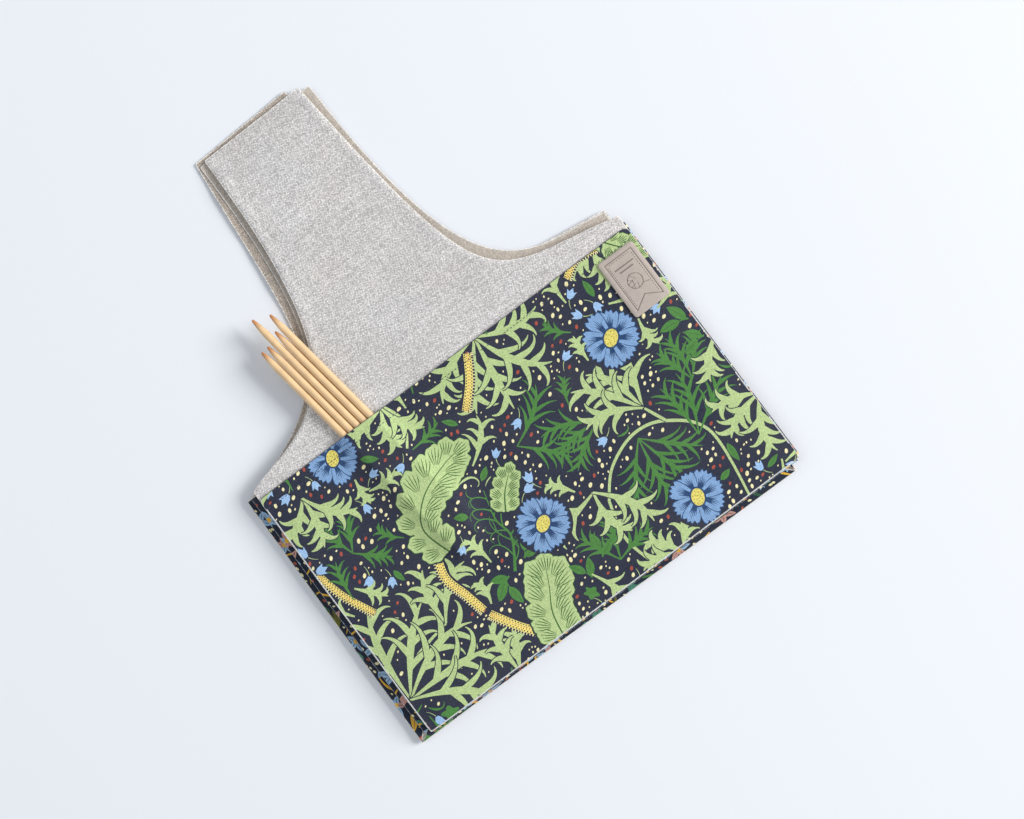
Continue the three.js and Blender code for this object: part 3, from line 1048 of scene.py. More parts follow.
def print_front_pocket(outline):
    """A generic all-over garden print on navy: fronds, lobed leaves, blue daisies and seeds."""
    art = Printed(outline, NAVY, 41)
    rng = art.rng
    for points in VINES:
        path = through(points)
        art.add(banded([(path, taper(len(path), 2.2, 2.6, 1.8, 0.5))], LIGHT_LEAF, NAVY, 0.7))
    for fans, tries, wobble, width, colour, turn, shape in (
            (GREEN_FANS, 8, 8, 3.6, LEAF, 30, (7, 30, 34)),
            (LIGHT_FANS, 12, 9, 6.2, LIGHT_LEAF, 45, (6, 38, 62, 0.7))):
        for origin, directions, length in fans:
            for heading in directions:
                art.add_best([
                    frond(rng, origin, heading + rng.uniform(-wobble, wobble),
                          length * rng.uniform(0.9, 1.15), width, colour, NAVY,
                          rng.uniform(-turn, turn), *shape)
                    for _ in range(tries)])
    art.add(curly_branch(rng, [(-52, 62), (-38, 86), (-40, 104), (-34, 128)], 2.6, LEAF, 12, 30))
    for points, width in STUDDED_STEMS:
        art.add(studded_stem(points, width))
    for rib, half_width, lobes in LOBED_LEAVES:
        art.add(lobed_leaf(rib, half_width, lobes))
    for start, heading, length in SPRIGS:
        art.add(sprig(start, heading, length * 0.4, 1, length, LEAF, LEAF_VEIN))
    for centre, radius, angle in DAISIES:
        art.add(daisy(np.array(centre, float), radius, angle))

    def light(rng, at, heading):
        length = rng.uniform(22, 42)
        return frond(rng, at, heading, length, 4.8, LIGHT_LEAF, NAVY, rng.uniform(-60, 60), 5, 38, 62)

    def green(rng, at, heading):
        return frond(rng, at, heading, rng.uniform(18, 38), 3.2, LEAF, NAVY, rng.uniform(-40, 40), 6, 32, 36)

    def bell(rng, at, heading):
        return bellflower(at, rng.uniform(6.0, 7.5), heading, NAVY)

    def lone_leaf(rng, at, heading):
        return almond(at, heading, rng.uniform(11, 17), rng.uniform(4.5, 6.5), LEAF, LEAF_VEIN)

    def clover(rng, at, heading):
        return small_leaf(at, rng.uniform(7, 10), heading, LEAF)

    def curl(rng, at, heading):
        turn = rng.choice([-1, 1]) * rng.uniform(70, 160)
        path = sweep(at, heading, rng.uniform(14, 26), turn * 0.4, turn)
        return ribbon(path, taper(len(path), 0.5, 2.0, 0.4), [LEAF, LIGHT_LEAF][rng.integers(2)])

    def wisp(rng, at, heading):
        path = sweep(at, heading, rng.uniform(8, 18), rng.uniform(-90, 90))
        return ribbon(path, taper(len(path), 0.5, 1.1, 0.3), LIGHT_LEAF)

    art.fill(170, bell, 0.04, 0)
    art.fill(500, light, 0.08)
    art.fill(700, green, 0.08)
    art.fill(120, clover)
    art.fill(160, lone_leaf, 0.05)
    art.fill(300, curl, 0.03, 0)
    art.scatter(170, CREAM, (1.6, 2.3), 2)
    art.fill(260, wisp, 0.0, 0)
    art.scatter(120, RUST, (1.5, 2.0), 2)
    art.scatter(260, CREAM, (0.7, 1.1), 1)
    return art.shapes


DARK_TEAL = srgb(24, 36, 56)
TEAL_LEAF = srgb(70, 128, 110)
DEEP_GREEN = srgb(40, 92, 62)
SKY = srgb(150, 184, 214)
GOLD = srgb(226, 178, 60)
PINK = srgb(196, 150, 140)
BRICK = srgb(170, 84, 58)
BLUE = srgb(60, 104, 160)


def print_gusset(outline, seed):
    """The second generic print: teal fronds, gold curves and pale blue petals on a darker ground."""
    art = Printed(outline, DARK_TEAL, seed)

    def teal(rng, at, heading):
        colour = [TEAL_LEAF, DEEP_GREEN, LEAF, OLIVE, BRICK][rng.integers(5)]
        length = rng.uniform(24, 46)
        return frond(rng, at, heading, length, 5.5, colour, DARK_TEAL, rng.uniform(-60, 60), 5, 44, 60)

    def gold(rng, at, heading):
        path = sweep(at, heading, rng.uniform(24, 60), rng.uniform(-120, 120))
        return ribbon(path, taper(len(path), 1.2, 2.2, 0.6), GOLD)

    def petals(rng, at, heading):
        shapes = []
        for k in range(5):
            length = rng.uniform(8, 12)
            shapes += almond(at, heading + 72 * k, length, 5, [SKY, PINK][rng.integers(2)], DARK_TEAL)
        return shapes + blob(at, 2.2, 2.2, 0, GOLD, 9)

    def bud(rng, at, heading):
        size = rng.uniform(4.5, 7)
        return bellflower(at, size, heading, DARK_TEAL, [SKY, BRICK, PINK][rng.integers(3)], GOLD)

    def broad(rng, at, heading):
        colour = [TEAL_LEAF, BLUE, GOLD, YELLOW][rng.integers(4)]
        return almond(at, heading, rng.uniform(14, 30), rng.uniform(6, 11), colour, DARK_TEAL)

    share = shoelace(outline) / 8000
    art.fill(int(16 * share), petals, 0.1)
    art.fill(int(30 * share), gold, 0.2)
    art.fill(int(70 * share), teal, 0.15)
    art.fill(int(60 * share), broad, 0.1)
    art.fill(int(80 * share), bud, 0.05)
    art.scatter(int(50 * share), CREAM, (1.0, 2.0), 1)
    art.scatter(int(30 * share), BRICK, (1.2, 2.2), 2)
    return art.shapes


# ---------------------------------------------------------------------------------------------
# Materials


def shader_tree(name):
    material = bpy.data.materials.new(name)
    material.use_nodes = True
    tree = material.node_tree
    return material, tree, tree.nodes["Principled BSDF"]


def put(tree, kind, inputs=None, **settings):
    """A shader node with its settings, inputs being sockets to link or plain values."""
    made = tree.nodes.new(kind)
    for key, value in settings.items():
        setattr(made, key, value)
    for key, value in (inputs or {}).items():
        if isinstance(value, bpy.types.NodeSocket):
            tree.links.new(value, made.inputs[key])
        else:
            made.inputs[key].default_value = value
    return made


def flat_place(tree):
    """A point's place on the flat cloth, in millimetres."""
    return put(tree, "ShaderNodeUVMap", uv_map="cloth").outputs["UV"]


def print_colour(tree):
    return put(tree, "ShaderNodeVertexColor", layer_name="print").outputs["Color"]


def link(tree, shader, **sockets):
    """Links values to the shader's sockets, named with _ for each space."""
    for name, value in sockets.items():
        tree.links.new(value, shader.inputs[name.replace("_", " ")])


def emboss_surface(tree, shader, height, strength, distance):
    inputs = {"Height": height, "Strength": strength, "Distance": distance}
    link(tree, shader, Normal=put(tree, "ShaderNodeBump", inputs).outputs["Normal"])


def finish_with(shader, **values):
    """Sets plain values of the shader, named with _ for each space."""
    for name, value in values.items():
        shader.inputs[name.replace("_", " ")].default_value = value


def calc(tree, operation, a, b=0.0, c=0.0):
    return put(tree, "ShaderNodeMath", {0: a, 1: b, 2: c}, operation=operation).outputs[0]


def product(tree, *factors):
    result = factors[0]
    for factor in factors[1:]:
        result = calc(tree, "MULTIPLY", result, factor)
    return result


def noise(tree, vector, scale, detail=2.0, roughness=0.5):
    inputs = {"Vector": vector, "Scale": scale, "Detail": detail, "Roughness": roughness}
    return put(tree, "ShaderNodeTexNoise", inputs).outputs["Fac"]


def spread(tree, value, low, high, from_low=0.3, from_high=0.7):
    inputs = {"Value": value, "From Min": from_low, "From Max": from_high, "To Min": low, "To Max": high}
    return put(tree, "ShaderNodeMapRange", inputs).outputs["Result"]


def scaled(tree, colour, factor):
    """A colour times a number."""
    inputs = {0: colour, "Scale": factor}
    return put(tree, "ShaderNodeVectorMath", inputs, operation="SCALE").outputs["Vector"]


def mixed(tree, factor, a, b):
    made = put(tree, "ShaderNodeMix", data_type="RGBA")
    for index, value in ((0, factor), (6, a), (7, b)):
        if isinstance(value, bpy.types.NodeSocket):
            tree.links.new(value, made.inputs[index])
        else:
            made.inputs[index].default_value = value
    return made.outputs[2]


def stretched(tree, vector, x, y):
    inputs = {0: vector, 1: (x, y, 1.0)}
    return put(tree, "ShaderNodeVectorMath", inputs, operation="MULTIPLY").outputs["Vector"]


def ridges(tree, across, pitch):
    """Threads side by side, from 0 between them to 1 along their tops."""
    return calc(tree, "ABSOLUTE", calc(tree, "SINE", calc(tree, "MULTIPLY", across, math.pi / pitch)))


def woven(tree, uv, pitch):
    """Threads of a plain weave on the flat cloth: their height, their shade and which way they lie."""
    parts = put(tree, "ShaderNodeSeparateXYZ", {0: uv})
    u, v = parts.outputs["X"], parts.outputs["Y"]
    warp, weft = ridges(tree, u, pitch), ridges(tree, v, pitch)
    over_u = calc(tree, "FLOOR", calc(tree, "DIVIDE", u, pitch))
    over_v = calc(tree, "FLOOR", calc(tree, "DIVIDE", v, pitch))
    checker = calc(tree, "FLOORED_MODULO", calc(tree, "ADD", over_u, over_v), 2.0)
    height = put(tree, "ShaderNodeMix", data_type="FLOAT")
    for index, value in ((0, checker), (2, warp), (3, weft)):
        tree.links.new(value, height.inputs[index])
    crossing = put(tree, "ShaderNodeCombineXYZ", {0: over_u, 1: over_v}).outputs[0]
    uneven = put(tree, "ShaderNodeTexWhiteNoise", {"Vector": crossing}, noise_dimensions="2D")
    return height.outputs[0], uneven.outputs["Value"], checker


def slub_lines(tree, uv, pitch):
    """Thicker and thinner stretches of thread, longer across the cloth than up it."""
    long_u = noise(tree, stretched(tree, uv, 0.5 / pitch, 0.06 / pitch), 1.0, 1.0)
    long_v = noise(tree, stretched(tree, uv, 0.022 / pitch, 0.8 / pitch), 1.0, 1.0)
    return calc(tree, "MULTIPLY", calc(tree, "ADD", long_u, calc(tree, "MULTIPLY", long_v, 2.0)), 0.333)


def around_one(tree, value, amount, low, high):
    """A factor from 1 - amount to 1 + amount, as a value goes from low to high."""
    return spread(tree, value, 1 - amount, 1 + amount, low, high)


WARM_STAIN = (0.62, 0.50, 0.40, 1)
PALE_FIBRE = (0.60, 0.60, 0.58, 1)


def cloth_material(name, pitch, slub, streak, fleck_amount, grain, contrast, bump, sheen, roughness, mottle):
    """Woven cloth coloured by the print, with uneven threads, flecks, soft mottling and painted shade between
    the threads.
    contrast is how far the threads that lie one way are darker than those that cross them: partly the
    threads' own tone, partly painted shade from how they lie to the light."""
    material, tree, shader = shader_tree(name)
    uv = flat_place(tree)
    height, uneven, checker = woven(tree, uv, pitch)
    streaks = slub_lines(tree, uv, pitch)
    fleck = noise(tree, uv, slub, 2.0, 0.6)
    factor = product(
        tree,
        around_one(tree, streaks, streak, 0.38, 0.62),
        around_one(tree, fleck, fleck_amount, 0.3, 0.7),
        around_one(tree, uneven, grain, 0.0, 1.0),
        around_one(tree, noise(tree, uv, 0.012, 3.0, 0.6), mottle, 0.3, 0.7),
        # Painted shade between the threads and lighter thread tops, from the threads' height.
        spread(tree, height, 0.84, 1.08, 0.0, 1.0),
        # Threads lying one way darker than those crossing them: partly their own tone, partly painted shade.
        around_one(tree, checker, contrast, 0.0, 1.0),
    )
    warmth = spread(tree, noise(tree, uv, 0.02, 2.0, 0.6), 0.0, 1.0, 0.35, 0.65)
    colour = mixed(tree, calc(tree, "MULTIPLY", warmth, mottle * 2), print_colour(tree), WARM_STAIN)
    pale = spread(tree, noise(tree, uv, slub * 1.3, 2.0, 0.7), 0.0, 0.10, 0.5, 0.75)
    link(tree, shader, Base_Color=mixed(tree, pale, scaled(tree, colour, factor), PALE_FIBRE),
         Roughness=spread(tree, fleck, roughness - 0.06, roughness + 0.06))
    lumps = calc(tree, "ADD", height, calc(tree, "MULTIPLY", streaks, 1.4))
    emboss_surface(tree, shader, lumps, bump, 0.00025)
    finish_with(shader, Sheen_Weight=sheen, Sheen_Roughness=0.45, Specular_IOR_Level=0.25)
    return material


def leather_material():
    """Matt greyish faux leather with a fine pebble grain, darker in its pressed lines."""
    material, tree, shader = shader_tree("label_leather")
    uv = flat_place(tree)
    cells = put(tree, "ShaderNodeTexVoronoi", {"Vector": uv, "Scale": 2.2}).outputs["Distance"]
    cloudy = noise(tree, uv, 0.16, 4.0, 0.6)
    factor = product(tree, spread(tree, cloudy, 0.93, 1.06), spread(tree, cells, 1.03, 0.9, 0.0, 0.7))
    link(tree, shader, Base_Color=scaled(tree, print_colour(tree), factor),
         Roughness=spread(tree, cloudy, 0.5, 0.66))
    emboss_surface(tree, shader, cells, 0.35, 0.0002)
    finish_with(shader, Specular_IOR_Level=0.35)
    return material


def thread_material():
    """Twisted sewing thread."""
    material, tree, shader = shader_tree("thread")
    parts = put(tree, "ShaderNodeSeparateXYZ", {0: flat_place(tree)})
    twist = calc(tree, "ADD", calc(tree, "MULTIPLY", parts.outputs["X"], 9.0), parts.outputs["Y"])
    strand = calc(tree, "ABSOLUTE", calc(tree, "SINE", twist))
    link(tree, shader, Base_Color=scaled(tree, print_colour(tree), spread(tree, strand, 0.6, 1.2, 0.0, 1.0)))
    emboss_surface(tree, shader, strand, 0.6, 0.0001)
    finish_with(shader, Roughness=0.62, Sheen_Weight=0.2)
    return material


def bamboo_material():
    """Polished bamboo: pale fibres along the needle, a few faint growth bands and darker tips."""
    material, tree, shader = shader_tree("bamboo")
    uv = flat_place(tree)
    fibres = noise(tree, stretched(tree, uv, 3.2, 0.05), 1.0, 4.0, 0.65)
    bands = noise(tree, stretched(tree, uv, 0.02, 0.09), 1.0, 3.0, 0.6)
    flecks = noise(tree, stretched(tree, uv, 2.2, 0.35), 1.0, 1.0)
    factor = product(tree, spread(tree, fibres, 0.84, 1.10), spread(tree, bands, 0.90, 1.07),
                     spread(tree, flecks, 1.0, 0.8, 0.66, 0.8))
    link(tree, shader, Base_Color=scaled(tree, print_colour(tree), factor),
         Roughness=spread(tree, fibres, 0.34, 0.5))
    emboss_surface(tree, shader, fibres, 0.12, 0.0002)
    finish_with(shader, Coat_Weight=0.3, Coat_Roughness=0.22)
    return material


def floor_material():
    """A plain pale surface."""
    material, tree, shader = shader_tree("pale_floor")
    position = put(tree, "ShaderNodeTexCoord").outputs["Object"]
    faint = spread(tree, noise(tree, position, 1.4, 2.0), 0.995, 1.005)
    link(tree, shader, Base_Color=scaled(tree, FLOOR_TONE, faint))
    finish_with(shader, Roughness=0.85, Specular_IOR_Level=0.15)
    return material


FLOOR_TONE = (0.80, 0.83, 0.88)
LINEN_CLOTH = cloth_material(
    "linen", pitch=0.9, slub=1.0, streak=0.11, fleck_amount=0.09, grain=0.29, contrast=0.17,
    bump=0.6, sheen=0.18, roughness=0.9, mottle=0.06)
PRINTED_COTTON, GUSSET_COTTON = [
    cloth_material(name, pitch=0.8, slub=1.1, streak=0.05, fleck_amount=0.07, grain=0.14, contrast=0.09,
                   bump=0.4, sheen=0.06, roughness=0.82, mottle=0.01)
    for name in ("pocket_print", "gusset_print")]
LINING_COTTON = cloth_material(
    "lining_cotton", pitch=0.8, slub=1.0, streak=0.10, fleck_amount=0.08, grain=0.2, contrast=0.1,
    bump=0.4, sheen=0.1, roughness=0.88, mottle=0.05)
LEATHER = leather_material()
THREAD = thread_material()
BAMBOO = bamboo_material()

LINEN_TONE = srgb(206, 204, 204)
# The back's linen is the front's linen painted darker and browner: painted shade for the back layers that
# show beside the strap.
LINEN_BACK_SHADED_TONE = srgb(182, 171, 160)
# A painted highlight: a pale band just inside each linen outline and on its rim, standing in for light on the
# turned edges.
LINEN_EDGE_HIGHLIGHT = srgb(230, 227, 222)
# The lining's own tone, darkened further by painted shade for the lining layers that show beside the strap.
LINING_TONE_AND_SHADE = srgb(190, 181, 171)
REVERSE_NAVY = srgb(92, 100, 124)
REVERSE_TEAL = srgb(80, 98, 108)
SEAM_WHITE = srgb(214, 216, 216)


def dress(piece, material, slot, body=None, nodes=()):
    """Gives a piece its material and its body, and hides the CAD nodes that it stands for. slot is not used.
    """
    piece.data.materials.append(material)
    if body:
        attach(piece, body)
    if nodes:
        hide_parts(*nodes)


def declare(outline, rests_on):
    """Works out the area of a piece's outline and keeps nothing."""
    area = shoelace(outline) * MM * MM
    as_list(rests_on)


# ---------------------------------------------------------------------------------------------
# The bag's pieces


def hang_strap(piece):
    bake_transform(piece)


def beside_edge(cut, depth):
    """The points that lie a given depth inside an outline, in order round it."""
    points = cut - outward(cut) * depth
    return points[inside(points, cut) & (distance_to(points, cut) > depth * 0.8)]


def edge_line(cut, width, colour):
    """A thin band of one colour just inside an outline."""
    path = cut - outward(cut) * width / 2
    return ribbon(np.vstack([path, path[:2]]), width, colour)


LINEN_LOOK = (LINEN, LINEN_CLOTH, "linen")
LINING_LOOK = (LINING, LINING_COTTON, "lining_cotton")
LINEN_CUTS = [
    ("linen_front", FRONT, "front_panel", "front_strap", -0.1, 0.28, LINEN_LOOK, LINEN_TONE,
     ["lining_front"]),
    # the linings in their own tone with painted shade
    ("lining_front", FRONT, "front_lining", "front_strap_lining", 0.1, 0.0, LINING_LOOK, LINING_TONE_AND_SHADE,
     ["lining_back", "gusset_base_front"]),
    ("lining_back", BACK_INSIDE, "back_lining", "back_strap_lining", -0.1, 0.0, LINING_LOOK, LINING_TONE_AND_SHADE,
     ["linen_back"]),
    # the back's linen in its painted-shade tone
    ("linen_back", BACK, "back_panel", "back_strap", 0.1, 0.0, LINEN_LOOK, LINEN_BACK_SHADED_TONE,
     ["pocket_back"]),
]
RIDGE_RINGS = (1.2, 2.4, 5.8, 7.2, 8.8)  # depths at which the turned edge has points of its own


def make_linen_cuts():
    """The front, the back and their linings, each one cloth from the base to the strap's end."""
    for name, outline, panel, strap, pinch, ridge, look, tone, under in LINEN_CUTS:
        thickness, material, slot = look
        side = name.split("_")[1]
        relief = front_relief if side == "front" else back_relief
        cut = rounded(outline.whole(), 1.2, 3.0)
        place = laid(outline, panel, strap, relief, pinch, ridge)
        beside = np.vstack([beside_edge(cut, depth) for depth in RIDGE_RINGS]) if ridge else ()
        # The pale band inside the outline and the rim colour are a painted edge highlight.
        piece = cloth(name, cut, place, thickness, (tone, tone, LINEN_EDGE_HIGHLIGHT), edge_line(cut, 0.5, LINEN_EDGE_HIGHLIGHT),
                      4.5, beside)
        dress(piece, material, slot, nodes=(panel, strap))
        hang_strap(piece)
        declare(cut, under)


def pocket_rim(top):
    """Rim colour of a pocket: white seam turnings at the sides and base, print along the hem."""

    def colour(u, v):
        hem = (v > top - 0.2)[:, None]
        return np.where(hem, NAVY, SEAM_WHITE)

    return colour


def turned_edges(outline, top):
    """The white turnings that show along the pocket's sides and base: whole on the left and the base,
    and here and there on the right."""
    ys = np.arange(2, top - 3, 6.0)
    left = np.stack([outline.left_x(ys) + 0.5, ys], -1)
    xs = np.arange(outline.left_x(0) + 2, outline.right_x(0) - 2, 6.0)
    base = np.stack([xs, outline.base_y(xs) + 0.4], -1)
    shapes = ribbon(left, 0.7, SEAM_WHITE) + ribbon(base, 0.6, SEAM_WHITE)
    for start, stop in ((14, 40), (66, 84), (118, 150), (176, 192)):
        ys = np.linspace(start, stop, 5)
        shapes += ribbon(np.stack([outline.right_x(ys) - 0.4, ys], -1), 0.6, SEAM_WHITE)
    return shapes


def make_front_pocket():
    cut = rounded(FRONT.up_to(POCKET_TOP), 5.0, 3.0)
    fine = grid_inside(cut, 2.2, (-155, 60, -15, POCKET_TOP))
    lining = cloth("pocket_front_lining", cut, pocket_surface(-COTTON / 2 - 0.1 - POCKET_LINING / 2),
                   POCKET_LINING, (LINING_TONE_AND_SHADE, LINING_TONE_AND_SHADE, LINING_TONE_AND_SHADE), spacing=5.0, inner=fine)
    dress(lining, LINING_COTTON, "lining_cotton", "front_half", ("front_pocket_lining",))
    declare(cut, ["linen_front"] + NEEDLES)
    place = pocket_surface(0.0)
    shapes = print_front_pocket(cut) + turned_edges(FRONT, POCKET_TOP)
    pocket = cloth("pocket_front", cut, place, COTTON, (NAVY, REVERSE_NAVY, pocket_rim(POCKET_TOP)),
                   shapes, 5.0, fine)
    dress(pocket, PRINTED_COTTON, "pocket_print", "front_half", ("front_pocket",))
    marks = hem_path(FRONT, HEM_HEIGHT)
    stitches = make_stitches("pocket_hem_stitches", place, COTTON / 2, marks, THREAD_NAVY)
    dress(stitches, THREAD, "thread", "front_half", ("pocket_hem_stitching",))
    declare(cut, ["pocket_front_lining"])


HEM_HEIGHT = (box_mm("pocket_hem_stitching")[0][1] + box_mm("pocket_hem_stitching")[1][1]) / 2
STITCH_PITCH = 3.2
THREAD_NAVY = srgb(52, 58, 84)
THREAD_BROWN = srgb(96, 84, 78)


def hem_path(outline, height):
    """Stitch middles and headings along a hem."""
    xs = np.arange(outline.left_x(height) + 3, outline.right_x(height) - 2, STITCH_PITCH)
    return [(x, height, 0.0) for x in xs]


def make_stitches(name, place, lift, marks, colour, length=2.5, radius=0.3):
    """A row of short rounded stitches that dive into the cloth at both ends."""
    around, along = 8, 7
    coords, faces, uvs = [], [], []
    turn = np.arange(around) * TAU / around
    for x, y, heading in marks:
        a = math.radians(heading)
        s = np.linspace(-1, 1, along)
        u = x + s * length / 2 * math.cos(a)
        v = y + s * length / 2 * math.sin(a)
        centre, _, _, normal = frame_at(place, u, v)
        arch = lift + 0.12 - 0.45 * np.abs(s) ** 3
        centre = centre + normal * arch[:, None]
        girth = radius * np.sqrt(np.clip(1 - np.abs(s) ** 6 * 0.75, 0.05, 1))
        side = np.array([-math.sin(a), math.cos(a), 0.0])
        first = len(coords)
        for k in range(along):
            for angle in turn:
                offset = side * math.cos(angle) + normal[k] * math.sin(angle) * 0.8
                coords.append(centre[k] + offset * girth[k])
                uvs.append((s[k] * length / 2, angle))
        for k in range(along - 1):
            for j in range(around):
                a0, a1 = first + k * around + j, first + k * around + (j + 1) % around
                faces.append([a0, a0 + around, a1 + around, a1])
        centre_start, centre_end = len(coords), len(coords) + 1
        coords += [centre[0], centre[-1]]
        uvs += [(-length / 2, 0), (length / 2, 0)]
        last = first + (along - 1) * around
        for j in range(around):
            after = (j + 1) % around
            faces.append([centre_start, first + j, first + after])
            faces.append([centre_end, last + after, last + j])
    triangles = []
    for face in faces:
        triangles.append(face[:3])
        if len(face) == 4:
            triangles.append([face[0], face[2], face[3]])
    tones = np.repeat([colour], len(triangles), 0)
    return mesh_object(name, coords, triangles, None, uvs, tones)


def make_back_pocket():
    cut = rounded(BACK.up_to(BACK_POCKET_TOP), 5.0, 4.0)
    lining = cloth("pocket_back_lining", cut, back_surface("back_pocket_lining"), POCKET_LINING,
                   (LINING_TONE_AND_SHADE, LINING_TONE_AND_SHADE, LINING_TONE_AND_SHADE))
    dress(lining, LINING_COTTON, "lining_cotton", "back_half", ("back_pocket_lining",))
    declare(cut, ["pocket_back"])
    place = back_surface("back_pocket")

    def facing_down(u, v):
        return place(-u, v)

    mirrored = (cut * (-1, 1))[::-1]
    shapes = print_gusset(mirrored, 7)
    pocket = cloth("pocket_back", mirrored, facing_down, COTTON,
                   (DARK_TEAL, REVERSE_TEAL, SEAM_WHITE), shapes)
    dress(pocket, GUSSET_COTTON, "gusset_print", "back_half", ("back_pocket",))
    back_hem = BACK_POCKET_TOP - (POCKET_TOP - HEM_HEIGHT)
    marks = [(-x, y, heading) for x, y, heading in hem_path(BACK, back_hem)]
    stitches = make_stitches("back_hem_stitches", facing_down, COTTON / 2 - 0.25, marks, THREAD_NAVY)
    dress(stitches, THREAD, "thread", "back_half")
    declare(cut, [])


def blend_half(piece, half, fold, seam, axis):
    """Bakes a half pleat's transform and works out where its blend would end, at its seam and as far beyond
    its fold; nothing uses these ends.
    fold and seam are positions along one axis, 0 across the bag and 1 up it."""
    far = 2 * fold - seam
    ends = (far, seam) if half == "front" else (seam, far)
    start, end = [tuple(at * MM if k == axis else 0.0 for k in range(3)) for at in ends]
    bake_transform(piece)
    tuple(start)
    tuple(end)


def roll_edge(points):
    """The pale turned edge along a pleat's roll."""
    return ribbon(np.array(points), 0.9, SEAM_WHITE)


def make_halves(name, cuts, place, shapes, extra, from_seam, crease, fold, seams, axis):
    """The two halves of a pleat, which meet in its fold.
    from_seam gives a flat point's distance from the front seam, and crease is the fold's.
    fold and seams are positions along one axis, as blend_half takes them."""

    def edge(u, v):
        at_fold = abs(from_seam(u, v) - crease) < 1
        return np.where(at_fold[:, None], DARK_TEAL, SEAM_WHITE)

    for half, cut in cuts.items():
        made = cloth(f"gusset_{name}_{half}", cut, place, COTTON, (DARK_TEAL, REVERSE_TEAL, edge), shapes,
                     5.0, extra[inside(extra, cut)])
        dress(made, GUSSET_COTTON, "gusset_print", nodes=(f"{name}_gusset_{half}",))
        blend_half(made, half, fold, seams[half], axis)
        declare(cut, ["lining_back"])


PLEAT_CORNER = 1.5
HALF_CORNER = 1.0
BACK_REACH = 2.0  # how far in from the back's edge a side pleat starts to bend
CREASE_ROWS = (-2, -0.7, 0.7, 2)  # rows of points beside the fold


def make_side_pleat(name, side, overhang, seed):
    top = BEND - 3.5
    front_edge = FRONT.left_x if side < 0 else FRONT.right_x
    back_edge = BACK.left_x if side < 0 else BACK.right_x
    low_z, high_z = middle_height(f"{name}_gusset_back"), middle_height(f"{name}_gusset_front")

    def profile_at(y):
        front_z = high_z + front_relief(front_edge(y), y)
        back_z = low_z + back_relief(back_edge(y), y)
        return pleat_profile(front_edge(y), back_edge(y), side * CREASE, overhang, front_z, back_z)

    marks = pleat_lengths(profile_at(np.array(100.0)))
    width, crease = marks[-1], (marks[8] + marks[9]) / 2

    def assemble(reach, height, v):
        return np.stack([reach, v, height], -1)

    fold_foot = GUSSET_DEPTH + 0.6
    front = [(0, 0.6 + SEAM_TUCK), (marks[3], 1.5), (marks[5], 4), (crease, fold_foot)]
    back = [(width, float(BACK.base_y(back_edge(0.0))) + 1.5), (width, top)]
    whole = rounded(front + back + [(0, top)], PLEAT_CORNER, 3.0)
    cuts = {"front": rounded(front + [(crease, top), (0, top)], HALF_CORNER, 3.0),
            "back": rounded([(crease, fold_foot)] + back + [(crease, top)], HALF_CORNER, 3.0)}
    seams = {"front": side * (abs(front_edge(100.0)) - ROLL_REACH),
             "back": side * (abs(back_edge(100.0)) - BACK_REACH)}
    extra = np.array([(m, y) for m in np.linspace(marks[1], marks[4], 7) for y in np.arange(8, top - 3, 4.0)]
                     + [(crease + d, y) for d in CREASE_ROWS for y in np.arange(60, top - 3, 4.0)])
    shapes = print_gusset(whole, seed) + roll_edge([(marks[3], y) for y in np.arange(3, top, 6.0)])
    place = pleat_place(profile_at, marks, assemble)

    def flip(points):
        return (np.asarray(points) * (-1, 1) + (width, 0))[::-1]

    if side < 0:
        cuts = {half: flip(cut) for half, cut in cuts.items()}
        shapes = [(flip(polygon), colour) for polygon, colour in shapes]
        extra = flip(extra)

    def unflipped(u):
        return width - u if side < 0 else u

    make_halves(name, cuts, lambda u, v: place(unflipped(u), v), shapes, extra,
                lambda u, v: unflipped(u), crease, side * (CREASE + FOLD_GAP), seams, 0)


def make_base_pleat():
    overhang = 1.5
    low_z, high_z = middle_height("base_gusset_back"), middle_height("base_gusset_front")
    left, right = FRONT.left[0][0], FRONT.right[0][0]

    def profile_at(x):
        front_z = high_z + front_relief(x, 0.0)
        back_z = low_z + back_relief(x, BACK.base_y(x))
        return pleat_profile(0.0 * x, BACK.base_y(x), GUSSET_DEPTH, overhang, front_z, back_z)

    marks = pleat_lengths(profile_at(np.array(0.0)))
    width, crease = marks[-1], (marks[8] + marks[9]) / 2

    def assemble(reach, height, v):
        return np.stack([v, reach, height], -1)

    low = [(left + 4, 0), (right - 4, 0), (right - 1.5, marks[3]), (right - 3, marks[5]), (CREASE, crease)]
    high = [(-CREASE, crease), (left + 3, marks[5]), (left + 1.5, marks[3])]
    seam = [(BACK.right[0][0] - 1, width), (BACK.left[0][0] + 1, width)]
    whole = rounded(low + seam + high, PLEAT_CORNER, 3.0)

    def flip(points):
        return (np.asarray(points) * (1, -1) + (0, width))[::-1]

    cuts = {"front": flip(rounded(low + high, HALF_CORNER, 3.0)),
            "back": flip(rounded([low[-1]] + seam + [high[0]], HALF_CORNER, 3.0))}
    xs, inner_xs = np.arange(left + 12, right - 12, 4.0), np.arange(-CREASE + 6, CREASE - 6, 4.0)
    extra = np.array([(x, m) for m in np.linspace(marks[1], marks[4], 7) for x in xs]
                     + [(x, crease + d) for d in CREASE_ROWS for x in inner_xs])
    shapes = print_gusset(whole, 23) + roll_edge([(x, marks[3]) for x in np.arange(left + 3, right - 3, 6.0)])
    shapes = [(flip(polygon), colour) for polygon, colour in shapes]
    place = pleat_place(profile_at, marks, assemble)
    seams = {"front": ROLL_REACH, "back": 0.0}
    make_halves("base", cuts, lambda u, v: place(width - v, u), shapes, flip(extra),
                lambda u, v: width - v, crease, GUSSET_DEPTH - FOLD_GAP, seams, 1)


# ---------------------------------------------------------------------------------------------
# The label

